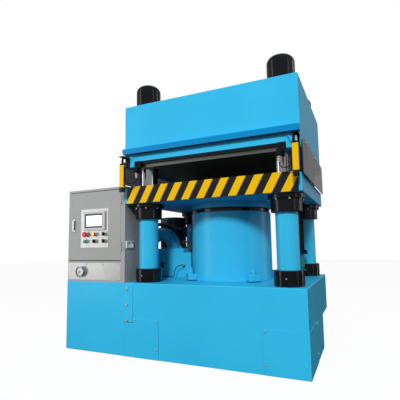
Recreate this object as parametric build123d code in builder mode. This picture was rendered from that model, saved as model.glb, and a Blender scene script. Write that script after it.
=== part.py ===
from build123d import *
from math import radians, tan
import os

os.makedirs("parts", exist_ok=True)

# Four column press that lifts its table against a fixed crown. Millimetres.
# x runs along the front, y from front to rear, z up. The origin is on the floor under the ram.

# Main frame
frame_width = 1280
frame_depth = 1034
front = -frame_depth / 2
rear = frame_depth / 2
left = -frame_width / 2
right = frame_width / 2
column_pitch_x = 1030
column_pitch_y = 780
column_radius = 68
column_end_radius = 60

# Heights above the floor
beam_bottom = 240
base_top = 510
collar_top = 607
bush_bottom = 968
table_bottom = 1080
table_top = 1195
work_plate_top = 1203
heating_bottom = 1345
heating_top = 1370
tab_bottom = 1350
recess_top = 1388
crown_top = 1817

# Clearance between pieces that move past each other, and between round fits that stand still
running_gap = 0.5
seat_gap = 0.05
sheet = 3


def column_places():
    return GridLocations(column_pitch_x, column_pitch_y, 2, 2)


# Base: a deep beam on a cross shaped foot, open at the corners for the column nuts
foot_notch_width = 245
foot_notch_depth = 320
spigot_radius = 280
spigot_depth = 30

with BuildPart() as base_frame:
    with BuildSketch():
        Rectangle(frame_width, frame_depth)
        with GridLocations(frame_width - foot_notch_width, frame_depth - foot_notch_depth, 2, 2):
            Rectangle(foot_notch_width, foot_notch_depth, mode=Mode.SUBTRACT)
    extrude(amount=beam_bottom)
    with BuildSketch(Plane.XY.offset(beam_bottom)):
        Rectangle(frame_width, frame_depth)
    extrude(amount=base_top - beam_bottom)
    chamfer(base_frame.faces().sort_by(Axis.Z)[-1].edges(), length=4)
    with BuildSketch(Plane.XY.offset(beam_bottom)):
        with column_places():
            Circle(column_end_radius + seat_gap)
    extrude(amount=base_top - beam_bottom, mode=Mode.SUBTRACT)
    with BuildSketch(Plane.XY.offset(base_top)):
        Circle(spigot_radius + seat_gap)
    extrude(amount=-spigot_depth, mode=Mode.SUBTRACT)
base_frame.part.label = "base_frame"
export_step(base_frame.part, "parts/base_frame.step")

# Sheet covers over the two front corner openings of the base
cover_width_left = 284
cover_width_right = 269
cover_height = 264
cover_side_length = 350
lap_width = 73
lap_bottom = 236
lap_top = 497

with BuildPart() as corner_cover_front_left:
    with BuildSketch(Plane.XZ.offset(-front)):
        with Locations((left, 0)):
            Rectangle(cover_width_left, cover_height, align=Align.MIN)
        with Locations((left, lap_bottom - sheet)):
            Rectangle(lap_width + sheet, cover_height, align=Align.MIN, mode=Mode.SUBTRACT)
    extrude(amount=sheet)
corner_cover_front_left.part.label = "corner_cover_front_left"
export_step(corner_cover_front_left.part, "parts/corner_cover_front_left.step")

with BuildPart() as corner_cover_front_right:
    with BuildSketch():
        with Locations((right + sheet, front - sheet)):
            Rectangle(cover_width_right + sheet, cover_side_length + sheet, align=(Align.MAX, Align.MIN))
        with Locations((right, front)):
            Rectangle(frame_width, frame_depth, align=(Align.MAX, Align.MIN), mode=Mode.SUBTRACT)
    extrude(amount=cover_height)
    outer_corners = corner_cover_front_right.edges().filter_by(Axis.Z).group_by(Axis.X)[-1]
    fillet(outer_corners.sort_by(Axis.Y)[0], radius=2.5)
corner_cover_front_right.part.label = "corner_cover_front_right"
export_step(corner_cover_front_right.part, "parts/corner_cover_front_right.step")

# Screws of the corner covers, and the larger bolts of the tank's lap flange
screw_radius = 7
screw_head = 5
tank_bolt_radius = 11
tank_bolt_head = 8
cover_face = front - sheet
front_screw_places = [
    (left + 89, 252), (left + 266, 252), (left + 266, 67),
    (right - 257, 252), (right - 257, 60),
]
side_screw_places = [(front + 335, 252), (front + 335, 60)]
tank_bolt_places = [(left + 23, 472), (left + 23, 360), (left + 23, 250)]

with BuildPart() as cover_screws:
    with BuildSketch(Plane.XZ.offset(-cover_face)):
        with Locations(*front_screw_places):
            RegularPolygon(screw_radius, 6)
    extrude(amount=screw_head)
    with BuildSketch(Plane.YZ.offset(right + sheet)):
        with Locations(*side_screw_places):
            RegularPolygon(screw_radius, 6)
    extrude(amount=screw_head)
    with BuildSketch(Plane.XZ.offset(-cover_face)):
        with Locations(*tank_bolt_places):
            RegularPolygon(tank_bolt_radius, 6)
    extrude(amount=tank_bolt_head)
cover_screws.part.label = "cover_screws"
export_step(cover_screws.part, "parts/cover_screws.step")

# Oil tank beside the base, with a flange lapped over the base front
tank_width = 545
tank_left = left - tank_width

with BuildPart() as oil_tank:
    with BuildSketch():
        with Locations((tank_left, front - sheet)):
            Rectangle(tank_width, frame_depth + sheet, align=Align.MIN)
    extrude(amount=base_top)
    fillet(oil_tank.edges().filter_by(Axis.Y).group_by(Axis.Z)[0].sort_by(Axis.X)[0], radius=10)
    fillet(oil_tank.edges().filter_by(Axis.Z).group_by(Axis.X)[0], radius=6)
    with BuildSketch(Plane.XZ.offset(-front)):
        with Locations((left, lap_bottom)):
            Rectangle(lap_width, lap_top - lap_bottom, align=Align.MIN)
    extrude(amount=sheet)
oil_tank.part.label = "oil_tank"
export_step(oil_tank.part, "parts/oil_tank.step")

# Four columns, shouldered where the crown sits on them and where they enter the base
rod_bottom = 165
rod_top = 1935
with BuildPart() as column_rods:
    with BuildSketch(Plane.XY.offset(rod_bottom)):
        with column_places():
            Circle(column_end_radius)
    extrude(amount=rod_top - rod_bottom)
    with BuildSketch(Plane.XY.offset(base_top)):
        with column_places():
            Circle(column_radius)
    extrude(amount=tab_bottom - base_top)
column_rods.part.label = "column_rods"
export_step(column_rods.part, "parts/column_rods.step")

# Painted sleeves that the table's bushes come down on
sleeve_radius = 71.75
with BuildPart() as column_sleeves:
    with BuildSketch(Plane.XY.offset(collar_top)):
        with column_places():
            Circle(sleeve_radius)
            Circle(column_radius + seat_gap, mode=Mode.SUBTRACT)
    extrude(amount=bush_bottom - collar_top)
column_sleeves.part.label = "column_sleeves"
export_step(column_sleeves.part, "parts/column_sleeves.step")

# Split clamp collars at the column feet
collar_radius = 95
collar_slot = 4
with BuildPart() as base_collars:
    with BuildSketch(Plane.XY.offset(base_top)):
        with column_places():
            Circle(collar_radius)
            Circle(column_radius + seat_gap, mode=Mode.SUBTRACT)
            Rectangle(collar_radius + 5, collar_slot, align=(Align.MIN, Align.CENTER), mode=Mode.SUBTRACT)
    extrude(amount=collar_top - base_top)
    collar_tops = base_collars.faces().filter_by(Plane.XY).group_by(Axis.Z)[-1]
    chamfer(collar_tops.edges().filter_by(GeomType.CIRCLE), length=2)
    with BuildSketch(Plane.XZ.offset(rear)):
        with Locations((-column_pitch_x / 2, 560), (column_pitch_x / 2, 560)):
            Circle(6)
    extrude(amount=-frame_depth, mode=Mode.SUBTRACT)
base_collars.part.label = "base_collars"
export_step(base_collars.part, "parts/base_collars.step")

# Nuts: domed caps on the crown and plain round nuts under the base beam
cap_nut_radius = 92
cap_nut_height = 180
cap_nut_rounding = 45
foot_nut_height = 75

with BuildPart() as cap_nuts:
    with BuildSketch(Plane.XY.offset(crown_top)):
        with column_places():
            Circle(cap_nut_radius)
    extrude(amount=cap_nut_height)
    fillet(cap_nuts.faces().filter_by(Plane.XY).group_by(Axis.Z)[-1].edges(), radius=cap_nut_rounding)
    with BuildSketch(Plane.XY.offset(crown_top)):
        with column_places():
            Circle(column_end_radius + seat_gap)
    extrude(amount=rod_top - crown_top, mode=Mode.SUBTRACT)
cap_nuts.part.label = "cap_nuts"
export_step(cap_nuts.part, "parts/cap_nuts.step")

with BuildPart() as foot_nuts:
    with BuildSketch(Plane.XY.offset(beam_bottom)):
        with column_places():
            Circle(cap_nut_radius)
            Circle(column_end_radius + seat_gap, mode=Mode.SUBTRACT)
    extrude(amount=-foot_nut_height)
    chamfer(foot_nuts.faces().filter_by(Plane.XY).group_by(Axis.Z)[0].edges(), length=3)
foot_nuts.part.label = "foot_nuts"
export_step(foot_nuts.part, "parts/foot_nuts.step")

# Main cylinder: a deep cup with a spigot in the base, and the gland ring that holds its seal
cylinder_radius = 309.7
cylinder_top = 1012
cylinder_floor = 600
ram_radius = 235
gland_radius = 303
gland_top = 1036
hose_port_height = 905
hose_port_radius = 26
port_face = -cylinder_radius + 2

with BuildPart() as main_cylinder:
    with BuildSketch(Plane.XZ):
        with BuildLine():
            Polyline(
                (0, base_top - spigot_depth), (spigot_radius, base_top - spigot_depth),
                (spigot_radius, base_top), (cylinder_radius, base_top), (cylinder_radius, cylinder_top),
                (ram_radius + 4, cylinder_top), (ram_radius + 4, cylinder_floor), (0, cylinder_floor),
                close=True,
            )
        make_face()
    revolve(axis=Axis.Z)
    chamfer(main_cylinder.faces().sort_by(Axis.Z)[-1].outer_wire().edges(), length=5)
    with BuildSketch(Plane.YZ.offset(port_face)):
        with Locations((0, hose_port_height)):
            Circle(hose_port_radius)
    extrude(amount=-20, mode=Mode.SUBTRACT)
main_cylinder.part.label = "main_cylinder"
export_step(main_cylinder.part, "parts/main_cylinder.step")

with BuildPart() as gland_ring:
    with BuildSketch(Plane.XY.offset(cylinder_top)):
        Circle(gland_radius)
        Circle(ram_radius + running_gap, mode=Mode.SUBTRACT)
    extrude(amount=gland_top - cylinder_top)
    chamfer(gland_ring.faces().sort_by(Axis.Z)[-1].outer_wire().edges(), length=3)
gland_ring.part.label = "gland_ring"
export_step(gland_ring.part, "parts/gland_ring.step")

# Four lugs that hold the cylinder down, each with its stud and nut
clamp_width = 84
clamp_bottom = 516
clamp_top = 560
clamp_reach = 372
stud_radius = 12
stud_top = 606
stud_place = 342
nut_radius = 19
nut_height = 26

with BuildPart() as cylinder_clamps:
    with BuildSketch(Plane.XY.offset(clamp_bottom)):
        with PolarLocations(0, 4, start_angle=45):
            with Locations(((clamp_reach + cylinder_radius - 12) / 2, 0)):
                RectangleRounded(clamp_reach - cylinder_radius + 12, clamp_width, 8)
        Circle(cylinder_radius + seat_gap, mode=Mode.SUBTRACT)
    extrude(amount=clamp_top - clamp_bottom)
    lug_tops = cylinder_clamps.faces().filter_by(Plane.XY).group_by(Axis.Z)[-1]
    chamfer(lug_tops.edges().filter_by(GeomType.LINE), length=2)
    with BuildSketch(Plane.XY.offset(clamp_top)):
        with PolarLocations(stud_place, 4, start_angle=45):
            RegularPolygon(nut_radius, 6)
    extrude(amount=nut_height)
    with BuildSketch(Plane.XY.offset(base_top)):
        with PolarLocations(stud_place, 4, start_angle=45):
            Circle(stud_radius)
    extrude(amount=stud_top - base_top)
cylinder_clamps.part.label = "cylinder_clamps"
export_step(cylinder_clamps.part, "parts/cylinder_clamps.step")

# Ram with its bolted flange under the table
flange_radius = 310
flange_bottom = 1039
ram_bottom = 640

with BuildPart() as ram:
    with BuildSketch(Plane.XZ):
        with BuildLine():
            Polyline(
                (0, ram_bottom), (ram_radius - 6, ram_bottom), (ram_radius, ram_bottom + 6),
                (ram_radius, flange_bottom), (flange_radius - 4, flange_bottom),
                (flange_radius, flange_bottom + 4), (flange_radius, table_bottom), (0, table_bottom),
                close=True,
            )
        make_face()
    revolve(axis=Axis.Z)
ram.part.label = "ram"
export_step(ram.part, "parts/ram.step")

# Lifting table with guide bushes on the columns
bush_radius = 98.5
bush_flange_radius = 115
bush_flange_bottom = 1049
bush_spigot_radius = 84
bush_spigot_top = 1160

# The table passes the cabinet's side on its way up, so it is a little narrower than the frame
table_side_gap = 2

with BuildPart() as moving_platen:
    with BuildSketch(Plane.XY.offset(table_bottom)):
        Rectangle(frame_width - 2 * table_side_gap, frame_depth)
        with column_places():
            Circle(bush_spigot_radius + seat_gap, mode=Mode.SUBTRACT)
    extrude(amount=table_top - table_bottom)
    chamfer(moving_platen.faces().sort_by(Axis.Z)[-1].outer_wire().edges(), length=4)
    chamfer(moving_platen.faces().sort_by(Axis.Z)[0].outer_wire().edges(), length=4)
moving_platen.part.label = "moving_platen"
export_step(moving_platen.part, "parts/moving_platen.step")

with BuildPart() as guide_bushes:
    with BuildSketch(Plane.XY.offset(bush_bottom)):
        with column_places():
            Circle(bush_radius)
    extrude(amount=bush_flange_bottom - bush_bottom)
    chamfer(guide_bushes.faces().filter_by(Plane.XY).group_by(Axis.Z)[0].edges(), length=3)
    with BuildSketch(Plane.XY.offset(bush_flange_bottom)):
        with column_places():
            Circle(bush_flange_radius)
    extrude(amount=table_bottom - bush_flange_bottom)
    flange_undersides = guide_bushes.faces().filter_by(Plane.XY).group_by(Axis.Z)[1]
    chamfer(flange_undersides.edges().sort_by(SortBy.RADIUS)[-4:], length=3)
    with BuildSketch(Plane.XY.offset(table_bottom)):
        with column_places():
            Circle(bush_spigot_radius)
    extrude(amount=bush_spigot_top - table_bottom)
    with BuildSketch(Plane.XY.offset(bush_bottom)):
        with column_places():
            Circle(column_radius + running_gap)
    extrude(amount=bush_spigot_top - bush_bottom, mode=Mode.SUBTRACT)
guide_bushes.part.label = "guide_bushes"
export_step(guide_bushes.part, "parts/guide_bushes.step")

# Working faces: a steel plate on the table, and the heated plate under the crown
work_plate_width = 1060
work_plate_depth = 976
work_plate_column_gap = 90
heating_column_gap = 76
heating_centre_x = -10

with BuildPart() as work_plate:
    with BuildSketch(Plane.XY.offset(table_top)):
        Rectangle(work_plate_width, work_plate_depth)
        with column_places():
            Circle(work_plate_column_gap, mode=Mode.SUBTRACT)
    extrude(amount=work_plate_top - table_top)
work_plate.part.label = "work_plate"
export_step(work_plate.part, "parts/work_plate.step")

with BuildPart() as heating_plate:
    with BuildSketch(Plane.XY.offset(heating_bottom)):
        with Locations((heating_centre_x, 0)):
            Rectangle(work_plate_width, work_plate_depth)
        with column_places():
            Circle(heating_column_gap, mode=Mode.SUBTRACT)
    extrude(amount=heating_top - heating_bottom)
heating_plate.part.label = "heating_plate"
export_step(heating_plate.part, "parts/heating_plate.step")

with BuildPart() as insulation_plate:
    with BuildSketch(Plane.XY.offset(heating_top)):
        with Locations((heating_centre_x, 0)):
            Rectangle(work_plate_width + 6, work_plate_depth + 40)
        with column_places():
            Circle(heating_column_gap, mode=Mode.SUBTRACT)
    extrude(amount=recess_top - heating_top)
insulation_plate.part.label = "insulation_plate"
export_step(insulation_plate.part, "parts/insulation_plate.step")

# Striped board along the front of the table
board_left = left + 23
board_right = right - 22
board_thickness = 6
stripe_pitch = 113.4
stripe_width = 58
stripe_lean = 67
stripe_first = left + 16.5
stripe_count = 11
paint = 0.6
board_face = front - board_thickness

with BuildPart() as hazard_board:
    with BuildSketch(Plane.XZ.offset(-front)):
        with Locations((board_left, table_bottom + 1)):
            Rectangle(board_right - board_left, work_plate_top - table_bottom - 1, align=Align.MIN)
    extrude(amount=board_thickness)
hazard_board.part.label = "hazard_board"
export_step(hazard_board.part, "parts/hazard_board.step")

with BuildPart() as hazard_stripes:
    with BuildSketch(Plane.XZ.offset(-board_face)):
        for number in range(stripe_count):
            start = stripe_first + number * stripe_pitch
            with BuildLine():
                Polyline(
                    (start, table_bottom + 1), (start + stripe_width, table_bottom + 1),
                    (start + stripe_width + stripe_lean, work_plate_top),
                    (start + stripe_lean, work_plate_top), close=True,
                )
            make_face()
        with Locations((board_left, table_bottom)):
            Rectangle(board_right - board_left, frame_depth, align=Align.MIN, mode=Mode.INTERSECT)
    extrude(amount=paint)
hazard_stripes.part.label = "hazard_stripes"
export_step(hazard_stripes.part, "parts/hazard_stripes.step")

# Bar under the table that trips the limit switch, with a hooked foot
switch_x = 507.5
switch_y = 187
striker_left = 495
striker_right = 530
striker_foot_right = 550
striker_foot_bottom = 689
striker_foot_top = 714
striker_thickness = 12

with BuildPart() as striker_bar:
    with BuildSketch(Plane.XZ.offset(-switch_y + striker_thickness / 2)):
        with BuildLine():
            Polyline(
                (striker_left, striker_foot_bottom), (striker_foot_right, striker_foot_bottom),
                (striker_foot_right, striker_foot_top), (striker_right, striker_foot_top + 12),
                (striker_right, table_bottom), (striker_left, table_bottom), close=True,
            )
        make_face()
    extrude(amount=-striker_thickness)
    with BuildSketch(Plane.XY.offset(table_bottom)):
        with Locations(((striker_left + striker_right) / 2, switch_y)):
            RectangleRounded(64, 60, 5)
    extrude(amount=-10)
striker_bar.part.label = "striker_bar"
export_step(striker_bar.part, "parts/striker_bar.step")

# Limit switch on the lug that holds it above the base, with a sprung plunger
switch_width = 33
switch_depth = 28
switch_lug_width = 26
switch_lug_thickness = 10
switch_body_bottom = 589
switch_top = 654
plunger_radius = 5
plunger_top = 672
plunger_bottom = 640

with BuildPart() as limit_switch:
    with BuildSketch(Plane.XY.offset(base_top)):
        with Locations((switch_x, switch_y)):
            Rectangle(switch_lug_width, switch_lug_thickness)
    extrude(amount=switch_body_bottom - base_top)
    with BuildSketch(Plane.XY.offset(switch_body_bottom)):
        with Locations((switch_x, switch_y)):
            RectangleRounded(switch_width, switch_depth, 4)
    extrude(amount=switch_top - switch_body_bottom - 8)
    with BuildSketch(Plane.XY.offset(switch_top - 8)):
        with Locations((switch_x, switch_y)):
            RectangleRounded(switch_width - 6, switch_depth - 4, 4)
    extrude(amount=8)
    with BuildSketch(Plane.XY.offset(switch_top)):
        with Locations((switch_x, switch_y)):
            Circle(plunger_radius + running_gap)
    extrude(amount=plunger_bottom - switch_top - 8, mode=Mode.SUBTRACT)
limit_switch.part.label = "limit_switch"
export_step(limit_switch.part, "parts/limit_switch.step")

with BuildPart() as switch_plunger:
    with BuildSketch(Plane.XY.offset(plunger_bottom)):
        with Locations((switch_x, switch_y)):
            Circle(plunger_radius)
    extrude(amount=plunger_top - plunger_bottom)
    fillet(switch_plunger.faces().sort_by(Axis.Z)[-1].edges(), radius=3)
switch_plunger.part.label = "switch_plunger"
export_step(switch_plunger.part, "parts/switch_plunger.step")

# Crown beam, with end tabs that stand on the columns and a channel for the plates
tab_width_left = 88
tab_width_right = 115
band_bottom = 1444
band_top = 1483
band_reach_top = 40
band_reach_bottom = 31

with BuildPart() as crown_beam:
    with BuildSketch(Plane.XZ.offset(-front)):
        with Locations((0, tab_bottom)):
            Rectangle(frame_width, crown_top - tab_bottom, align=(Align.CENTER, Align.MIN))
        with Locations((left + tab_width_left, tab_bottom)):
            Rectangle(
                frame_width - tab_width_left - tab_width_right, recess_top - tab_bottom,
                align=Align.MIN, mode=Mode.SUBTRACT,
            )
    extrude(amount=-frame_depth)
    chamfer(crown_beam.faces().sort_by(Axis.Z)[-1].edges(), length=5)
    with BuildSketch(Plane.XY.offset(tab_bottom)):
        with column_places():
            Circle(column_end_radius + seat_gap)
    extrude(amount=crown_top - tab_bottom, mode=Mode.SUBTRACT)
crown_beam.part.label = "crown_beam"
export_step(crown_beam.part, "parts/crown_beam.step")

with BuildPart() as front_band:
    with BuildSketch(Plane.YZ.offset(left)):
        with BuildLine():
            Polyline(
                (front, band_bottom), (front - band_reach_bottom, band_bottom),
                (front - band_reach_top, band_top - 3), (front - band_reach_top + 3, band_top),
                (front, band_top), close=True,
            )
        make_face()
    extrude(amount=frame_width)
front_band.part.label = "front_band"
export_step(front_band.part, "parts/front_band.step")

# Guard panels on spacers outside the crown, and a panel across the rear
guard_gap = 13
guard_thickness = 4
guard_front = front - 30
guard_rear = rear - 19
guard_top = 1408
guard_bottom_right = 1180
guard_bottom_left = 1226
guard_bolt_places = [(front + 84, 1387), (front + 524, 1384), (front + 922, 1380)]
guard_bolt_radius = 5


def guard_outline(bottom):
    return Polyline(
        (guard_front, bottom), (guard_rear, bottom), (guard_rear, guard_top),
        (guard_front + 70, guard_top), (guard_front, guard_top - 24), close=True,
    )


with BuildPart() as side_guard_right:
    with BuildSketch(Plane.YZ.offset(right + guard_gap)):
        with BuildLine():
            guard_outline(guard_bottom_right)
        make_face()
        with Locations(*guard_bolt_places):
            Circle(guard_bolt_radius + seat_gap, mode=Mode.SUBTRACT)
    extrude(amount=guard_thickness)
side_guard_right.part.label = "side_guard_right"
export_step(side_guard_right.part, "parts/side_guard_right.step")

with BuildPart() as side_guard_left:
    with BuildSketch(Plane.YZ.offset(left - guard_gap)):
        with BuildLine():
            guard_outline(guard_bottom_left)
        make_face()
        with Locations(*guard_bolt_places):
            Circle(guard_bolt_radius + seat_gap, mode=Mode.SUBTRACT)
    extrude(amount=-guard_thickness)
side_guard_left.part.label = "side_guard_left"
export_step(side_guard_left.part, "parts/side_guard_left.step")

with BuildPart() as guard_bolts:
    for plane_x, outward in ((right, 1), (left, -1)):
        with BuildSketch(Plane.YZ.offset(plane_x)):
            with Locations(*guard_bolt_places):
                Circle(9)
        extrude(amount=outward * guard_gap)
        with BuildSketch(Plane.YZ.offset(plane_x)):
            with Locations(*guard_bolt_places):
                Circle(guard_bolt_radius)
        extrude(amount=outward * (guard_gap + guard_thickness))
        with BuildSketch(Plane.YZ.offset(plane_x + outward * (guard_gap + guard_thickness))):
            with Locations(*guard_bolt_places):
                RegularPolygon(10, 6)
        extrude(amount=outward * 7)
guard_bolts.part.label = "guard_bolts"
export_step(guard_bolts.part, "parts/guard_bolts.step")

with BuildPart() as rear_guard:
    with BuildSketch(Plane.YZ.offset(-590)):
        with BuildLine():
            Polyline(
                (rear, 1360), (rear, 1410), (rear + 8, 1410), (rear + 8, 1200),
                (rear + 4, 1200), (rear + 4, 1360), close=True,
            )
        make_face()
    extrude(amount=1180)
rear_guard.part.label = "rear_guard"
export_step(rear_guard.part, "parts/rear_guard.step")

# Short light curtains in front of the opening, hung from brackets under the band
curtain_width = 36
curtain_depth = 26
curtain_front = front - 80
curtain_bottom = 1192
curtain_top = 1353
curtain_cap_bottom = 1160
curtain_centre_left = left + 26
curtain_centre_right = right - 21.5
arm_height = 1420


def curtain(centre_x):
    centre_y = curtain_front + curtain_depth / 2
    with BuildPart() as body:
        with BuildSketch(Plane.XY.offset(curtain_bottom)):
            with Locations((centre_x, centre_y)):
                RectangleRounded(curtain_width, curtain_depth, 3)
        extrude(amount=curtain_top - curtain_bottom)
        with BuildSketch(Plane.XY.offset(curtain_cap_bottom)):
            with Locations((centre_x, centre_y)):
                RectangleRounded(curtain_width - 2, curtain_depth - 2, 4)
        extrude(amount=curtain_bottom - curtain_cap_bottom)
    return body.part


def curtain_bracket(centre_x, inward):
    strap_x = centre_x + inward * 7
    with BuildPart() as bracket:
        with BuildSketch(Plane.XY.offset(arm_height)):
            with Locations((centre_x, front)):
                Rectangle(curtain_width + 8, front - curtain_front + 4, align=(Align.CENTER, Align.MAX))
        extrude(amount=-4)
        with BuildSketch(Plane.XZ.offset(-front)):
            with Locations((centre_x, arm_height)):
                Rectangle(curtain_width, arm_height - tab_bottom, align=(Align.CENTER, Align.MAX))
        extrude(amount=4)
        with BuildSketch(Plane.XZ.offset(-curtain_front - 4)):
            with Locations((strap_x, arm_height - 2)):
                Rectangle(14, arm_height - 2 - curtain_top, align=(Align.CENTER, Align.MAX))
        extrude(amount=-4)
    return bracket.part


light_curtains = Compound([curtain(curtain_centre_left), curtain(curtain_centre_right)])
light_curtains.label = "light_curtains"
export_step(light_curtains, "parts/light_curtains.step")
curtain_brackets = Compound([
    curtain_bracket(curtain_centre_left, 1),
    curtain_bracket(curtain_centre_right, -1),
])
curtain_brackets.label = "curtain_brackets"
export_step(curtain_brackets, "parts/curtain_brackets.step")

# Two proximity sensors in front of the opening, their clamps and their leads
sensor_x = 516
sensor_y = front - 34
sensor_radius = 9
sensor_bottom = 1258
sensor_top = 1318
sensor_places = [(-sensor_x, sensor_y), (sensor_x, sensor_y)]

with BuildPart() as table_sensors:
    with BuildSketch(Plane.XY.offset(sensor_bottom + 8)):
        with Locations(*sensor_places):
            Circle(sensor_radius)
    extrude(amount=sensor_top - sensor_bottom - 8)
    with BuildSketch(Plane.XY.offset(sensor_bottom)):
        with Locations(*sensor_places):
            Circle(sensor_radius - 3)
    extrude(amount=8)
table_sensors.part.label = "table_sensors"
export_step(table_sensors.part, "parts/table_sensors.step")

with BuildPart() as sensor_brackets:
    with BuildSketch(Plane.XY.offset(1296)):
        with Locations(*sensor_places):
            Rectangle(32, 30)
            Circle(sensor_radius + seat_gap, mode=Mode.SUBTRACT)
    extrude(amount=sensor_top - 1296)
    with BuildSketch(Plane.XY.offset(sensor_top)):
        with Locations(*sensor_places):
            Rectangle(32, 30)
    extrude(amount=18)
    with BuildSketch(Plane.XY.offset(sensor_top + 10)):
        with Locations((-sensor_x, front), (sensor_x, front)):
            Rectangle(32, 36, align=(Align.CENTER, Align.MAX))
    extrude(amount=8)
    with BuildSketch(Plane.XZ.offset(-front)):
        with Locations((-sensor_x - 11, sensor_top + 10), (sensor_x + 11, sensor_top + 10)):
            Rectangle(54, 62, align=(Align.CENTER, Align.MIN))
    extrude(amount=4)
sensor_brackets.part.label = "sensor_brackets"
export_step(sensor_brackets.part, "parts/sensor_brackets.step")


# A round tube along straight runs joined by arcs, each arc as large as its two runs allow
def bend_radii(points):
    runs = [Vector(*b) - Vector(*a) for a, b in zip(points, points[1:])]
    radii = []
    for before, after in zip(runs, runs[1:]):
        turn = before.get_angle(after)
        radii.append(0.45 * min(before.length, after.length) / tan(radians(turn) / 2))
    return radii


def tube(points, radius, name):
    radii = bend_radii(points)
    print(name, "bend radii", [round(bend) for bend in radii])
    with BuildLine() as path:
        FilletPolyline(*points, radius=radii)
    route = path.wire()
    with BuildPart() as made:
        with BuildSketch(Plane(origin=route @ 0, z_dir=route % 0)):
            Circle(radius)
        sweep(path=route)
    print(name, "length", round(route.length), "volume", round(made.part.volume))
    return made.part


lead_radius = 3
tank_sensor_place = (left + 232, front + 495, 614)
tank_sensor_reach = 26
left_lead_route = [
    (-516, -551, 1258), (-516, -551, 1238), (-530, -558, 1221), (-552, -568, 1216),
    (-572, -578, 1226), (-582, -584, 1246), (-596, -584, 1246),
]
right_lead_route = [
    (516, -551, 1258), (516, -551, 1240), (529, -557, 1226), (548, -565, 1219),
    (570, -575, 1217), (586, -584, 1229), (600.5, -584, 1229),
]
tank_lead_route = [
    (-408, -48, 614), (-408, -66, 614), (-424, -77, 608), (-450, -80, 599), (-466, -80, 575),
    (-472, -76, 548), (-480, -68, 527), (-500, -60, 516), (-528, -57, 514.5), (-556, -58, 514.5),
    (-584, -58, 516), (-604, -57, 521), (-613, -57, 521), (-613, -57, 510),
]
curtain_lead_route = [
    (-620, -584, 1353), (-620, -584, 1392), (-604, -580, 1404), (-584, -572, 1408),
    (-572, -556, 1430), (-560, -545, 1440.95), (564.5, -545, 1440.95), (576.5, -556, 1430),
    (588.5, -572, 1408), (608.5, -580, 1404), (624.5, -584, 1392), (624.5, -584, 1353),
]
sensor_leads = Compound([
    tube(left_lead_route, lead_radius, "left sensor lead"),
    tube(right_lead_route, lead_radius, "right sensor lead"),
    tube(tank_lead_route, lead_radius, "tank sensor lead"),
    tube(curtain_lead_route, lead_radius, "light curtain lead"),
])
sensor_leads.label = "sensor_leads"
export_step(sensor_leads, "parts/sensor_leads.step")

# Filling tank beside the cylinder, its lid, and the large return bend into the oil tank
fill_left = left - 29
fill_right = left + 290
fill_front = front + 495
fill_rear = front + 760
fill_top = 712
lid_top = 746
lid_left = left - 30
lid_right = left + 222
lid_depth = 150
bend_x = left + 91
bend_y = front + 495 + lid_depth / 2
bend_radius = 119
bend_height = 752
pipe_radius = 58
pipe_bore = 50

with BuildPart() as filling_tank:
    with BuildSketch(Plane.XY.offset(base_top)):
        with Locations((fill_left, fill_front)):
            Rectangle(fill_right - fill_left, fill_rear - fill_front, align=Align.MIN)
    extrude(amount=fill_top - base_top)
    fillet(filling_tank.edges().filter_by(Axis.Z), radius=6)
    with BuildSketch(Plane.XZ.offset(-fill_front)):
        with Locations((tank_sensor_place[0], tank_sensor_place[2])):
            Circle(sensor_radius)
    extrude(amount=tank_sensor_reach)
filling_tank.part.label = "filling_tank"
export_step(filling_tank.part, "parts/filling_tank.step")

with BuildPart() as filling_lid:
    with BuildSketch(Plane.XY.offset(fill_top)):
        with Locations(((lid_left + lid_right) / 2, bend_y)):
            RectangleRounded(lid_right - lid_left, lid_depth, 12)
        with Locations((bend_x, bend_y)):
            Circle(pipe_bore, mode=Mode.SUBTRACT)
    extrude(amount=lid_top - fill_top)
    chamfer(filling_lid.faces().sort_by(Axis.Z)[-1].outer_wire().edges(), length=2)
filling_lid.part.label = "filling_lid"
export_step(filling_lid.part, "parts/filling_lid.step")

with BuildPart() as elbow_pipe:
    with BuildLine() as bend_path:
        Line((bend_x, bend_y, lid_top), (bend_x, bend_y, bend_height))
        ThreePointArc(
            (bend_x, bend_y, bend_height), (bend_x - bend_radius, bend_y, bend_height + bend_radius),
            (bend_x - 2 * bend_radius, bend_y, bend_height),
        )
        Line((bend_x - 2 * bend_radius, bend_y, bend_height), (bend_x - 2 * bend_radius, bend_y, base_top))
    with BuildSketch(Plane.XY.offset(lid_top)):
        with Locations((bend_x, bend_y)):
            Circle(pipe_radius)
            Circle(pipe_bore, mode=Mode.SUBTRACT)
    sweep(path=bend_path.wire())
    with BuildSketch(Plane.XY.offset(base_top)):
        with Locations((bend_x - 2 * bend_radius, bend_y)):
            Circle(90)
            Circle(pipe_bore, mode=Mode.SUBTRACT)
    extrude(amount=18)
elbow_pipe.part.label = "elbow_pipe"
export_step(elbow_pipe.part, "parts/elbow_pipe.step")

# Pump motor on its bell housing, standing on the oil tank
motor_x = left - 112
motor_y = front + 930
motor_radius = 112
fin_reach = 13
fin_count = 32
motor_bottom = 745
cowl_bottom = 985
motor_top = 1040

with BuildPart() as pump_housing:
    with BuildSketch(Plane.XZ):
        with BuildLine():
            Polyline(
                (0, base_top), (118, base_top), (118, base_top + 16), (88, base_top + 24), (84, 700),
                (120, motor_bottom - 16), (120, motor_bottom), (0, motor_bottom), close=True,
            )
        make_face()
    revolve(axis=Axis.Z)
    with BuildSketch(Plane.XZ.offset(-200)):
        with Locations((0, 620)):
            RectangleRounded(70, 90, 16)
    extrude(amount=400, mode=Mode.SUBTRACT)
pump_housing.part.locate(Location((motor_x, motor_y, 0)))
pump_housing.part.label = "pump_housing"
export_step(pump_housing.part, "parts/pump_housing.step")

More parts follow.
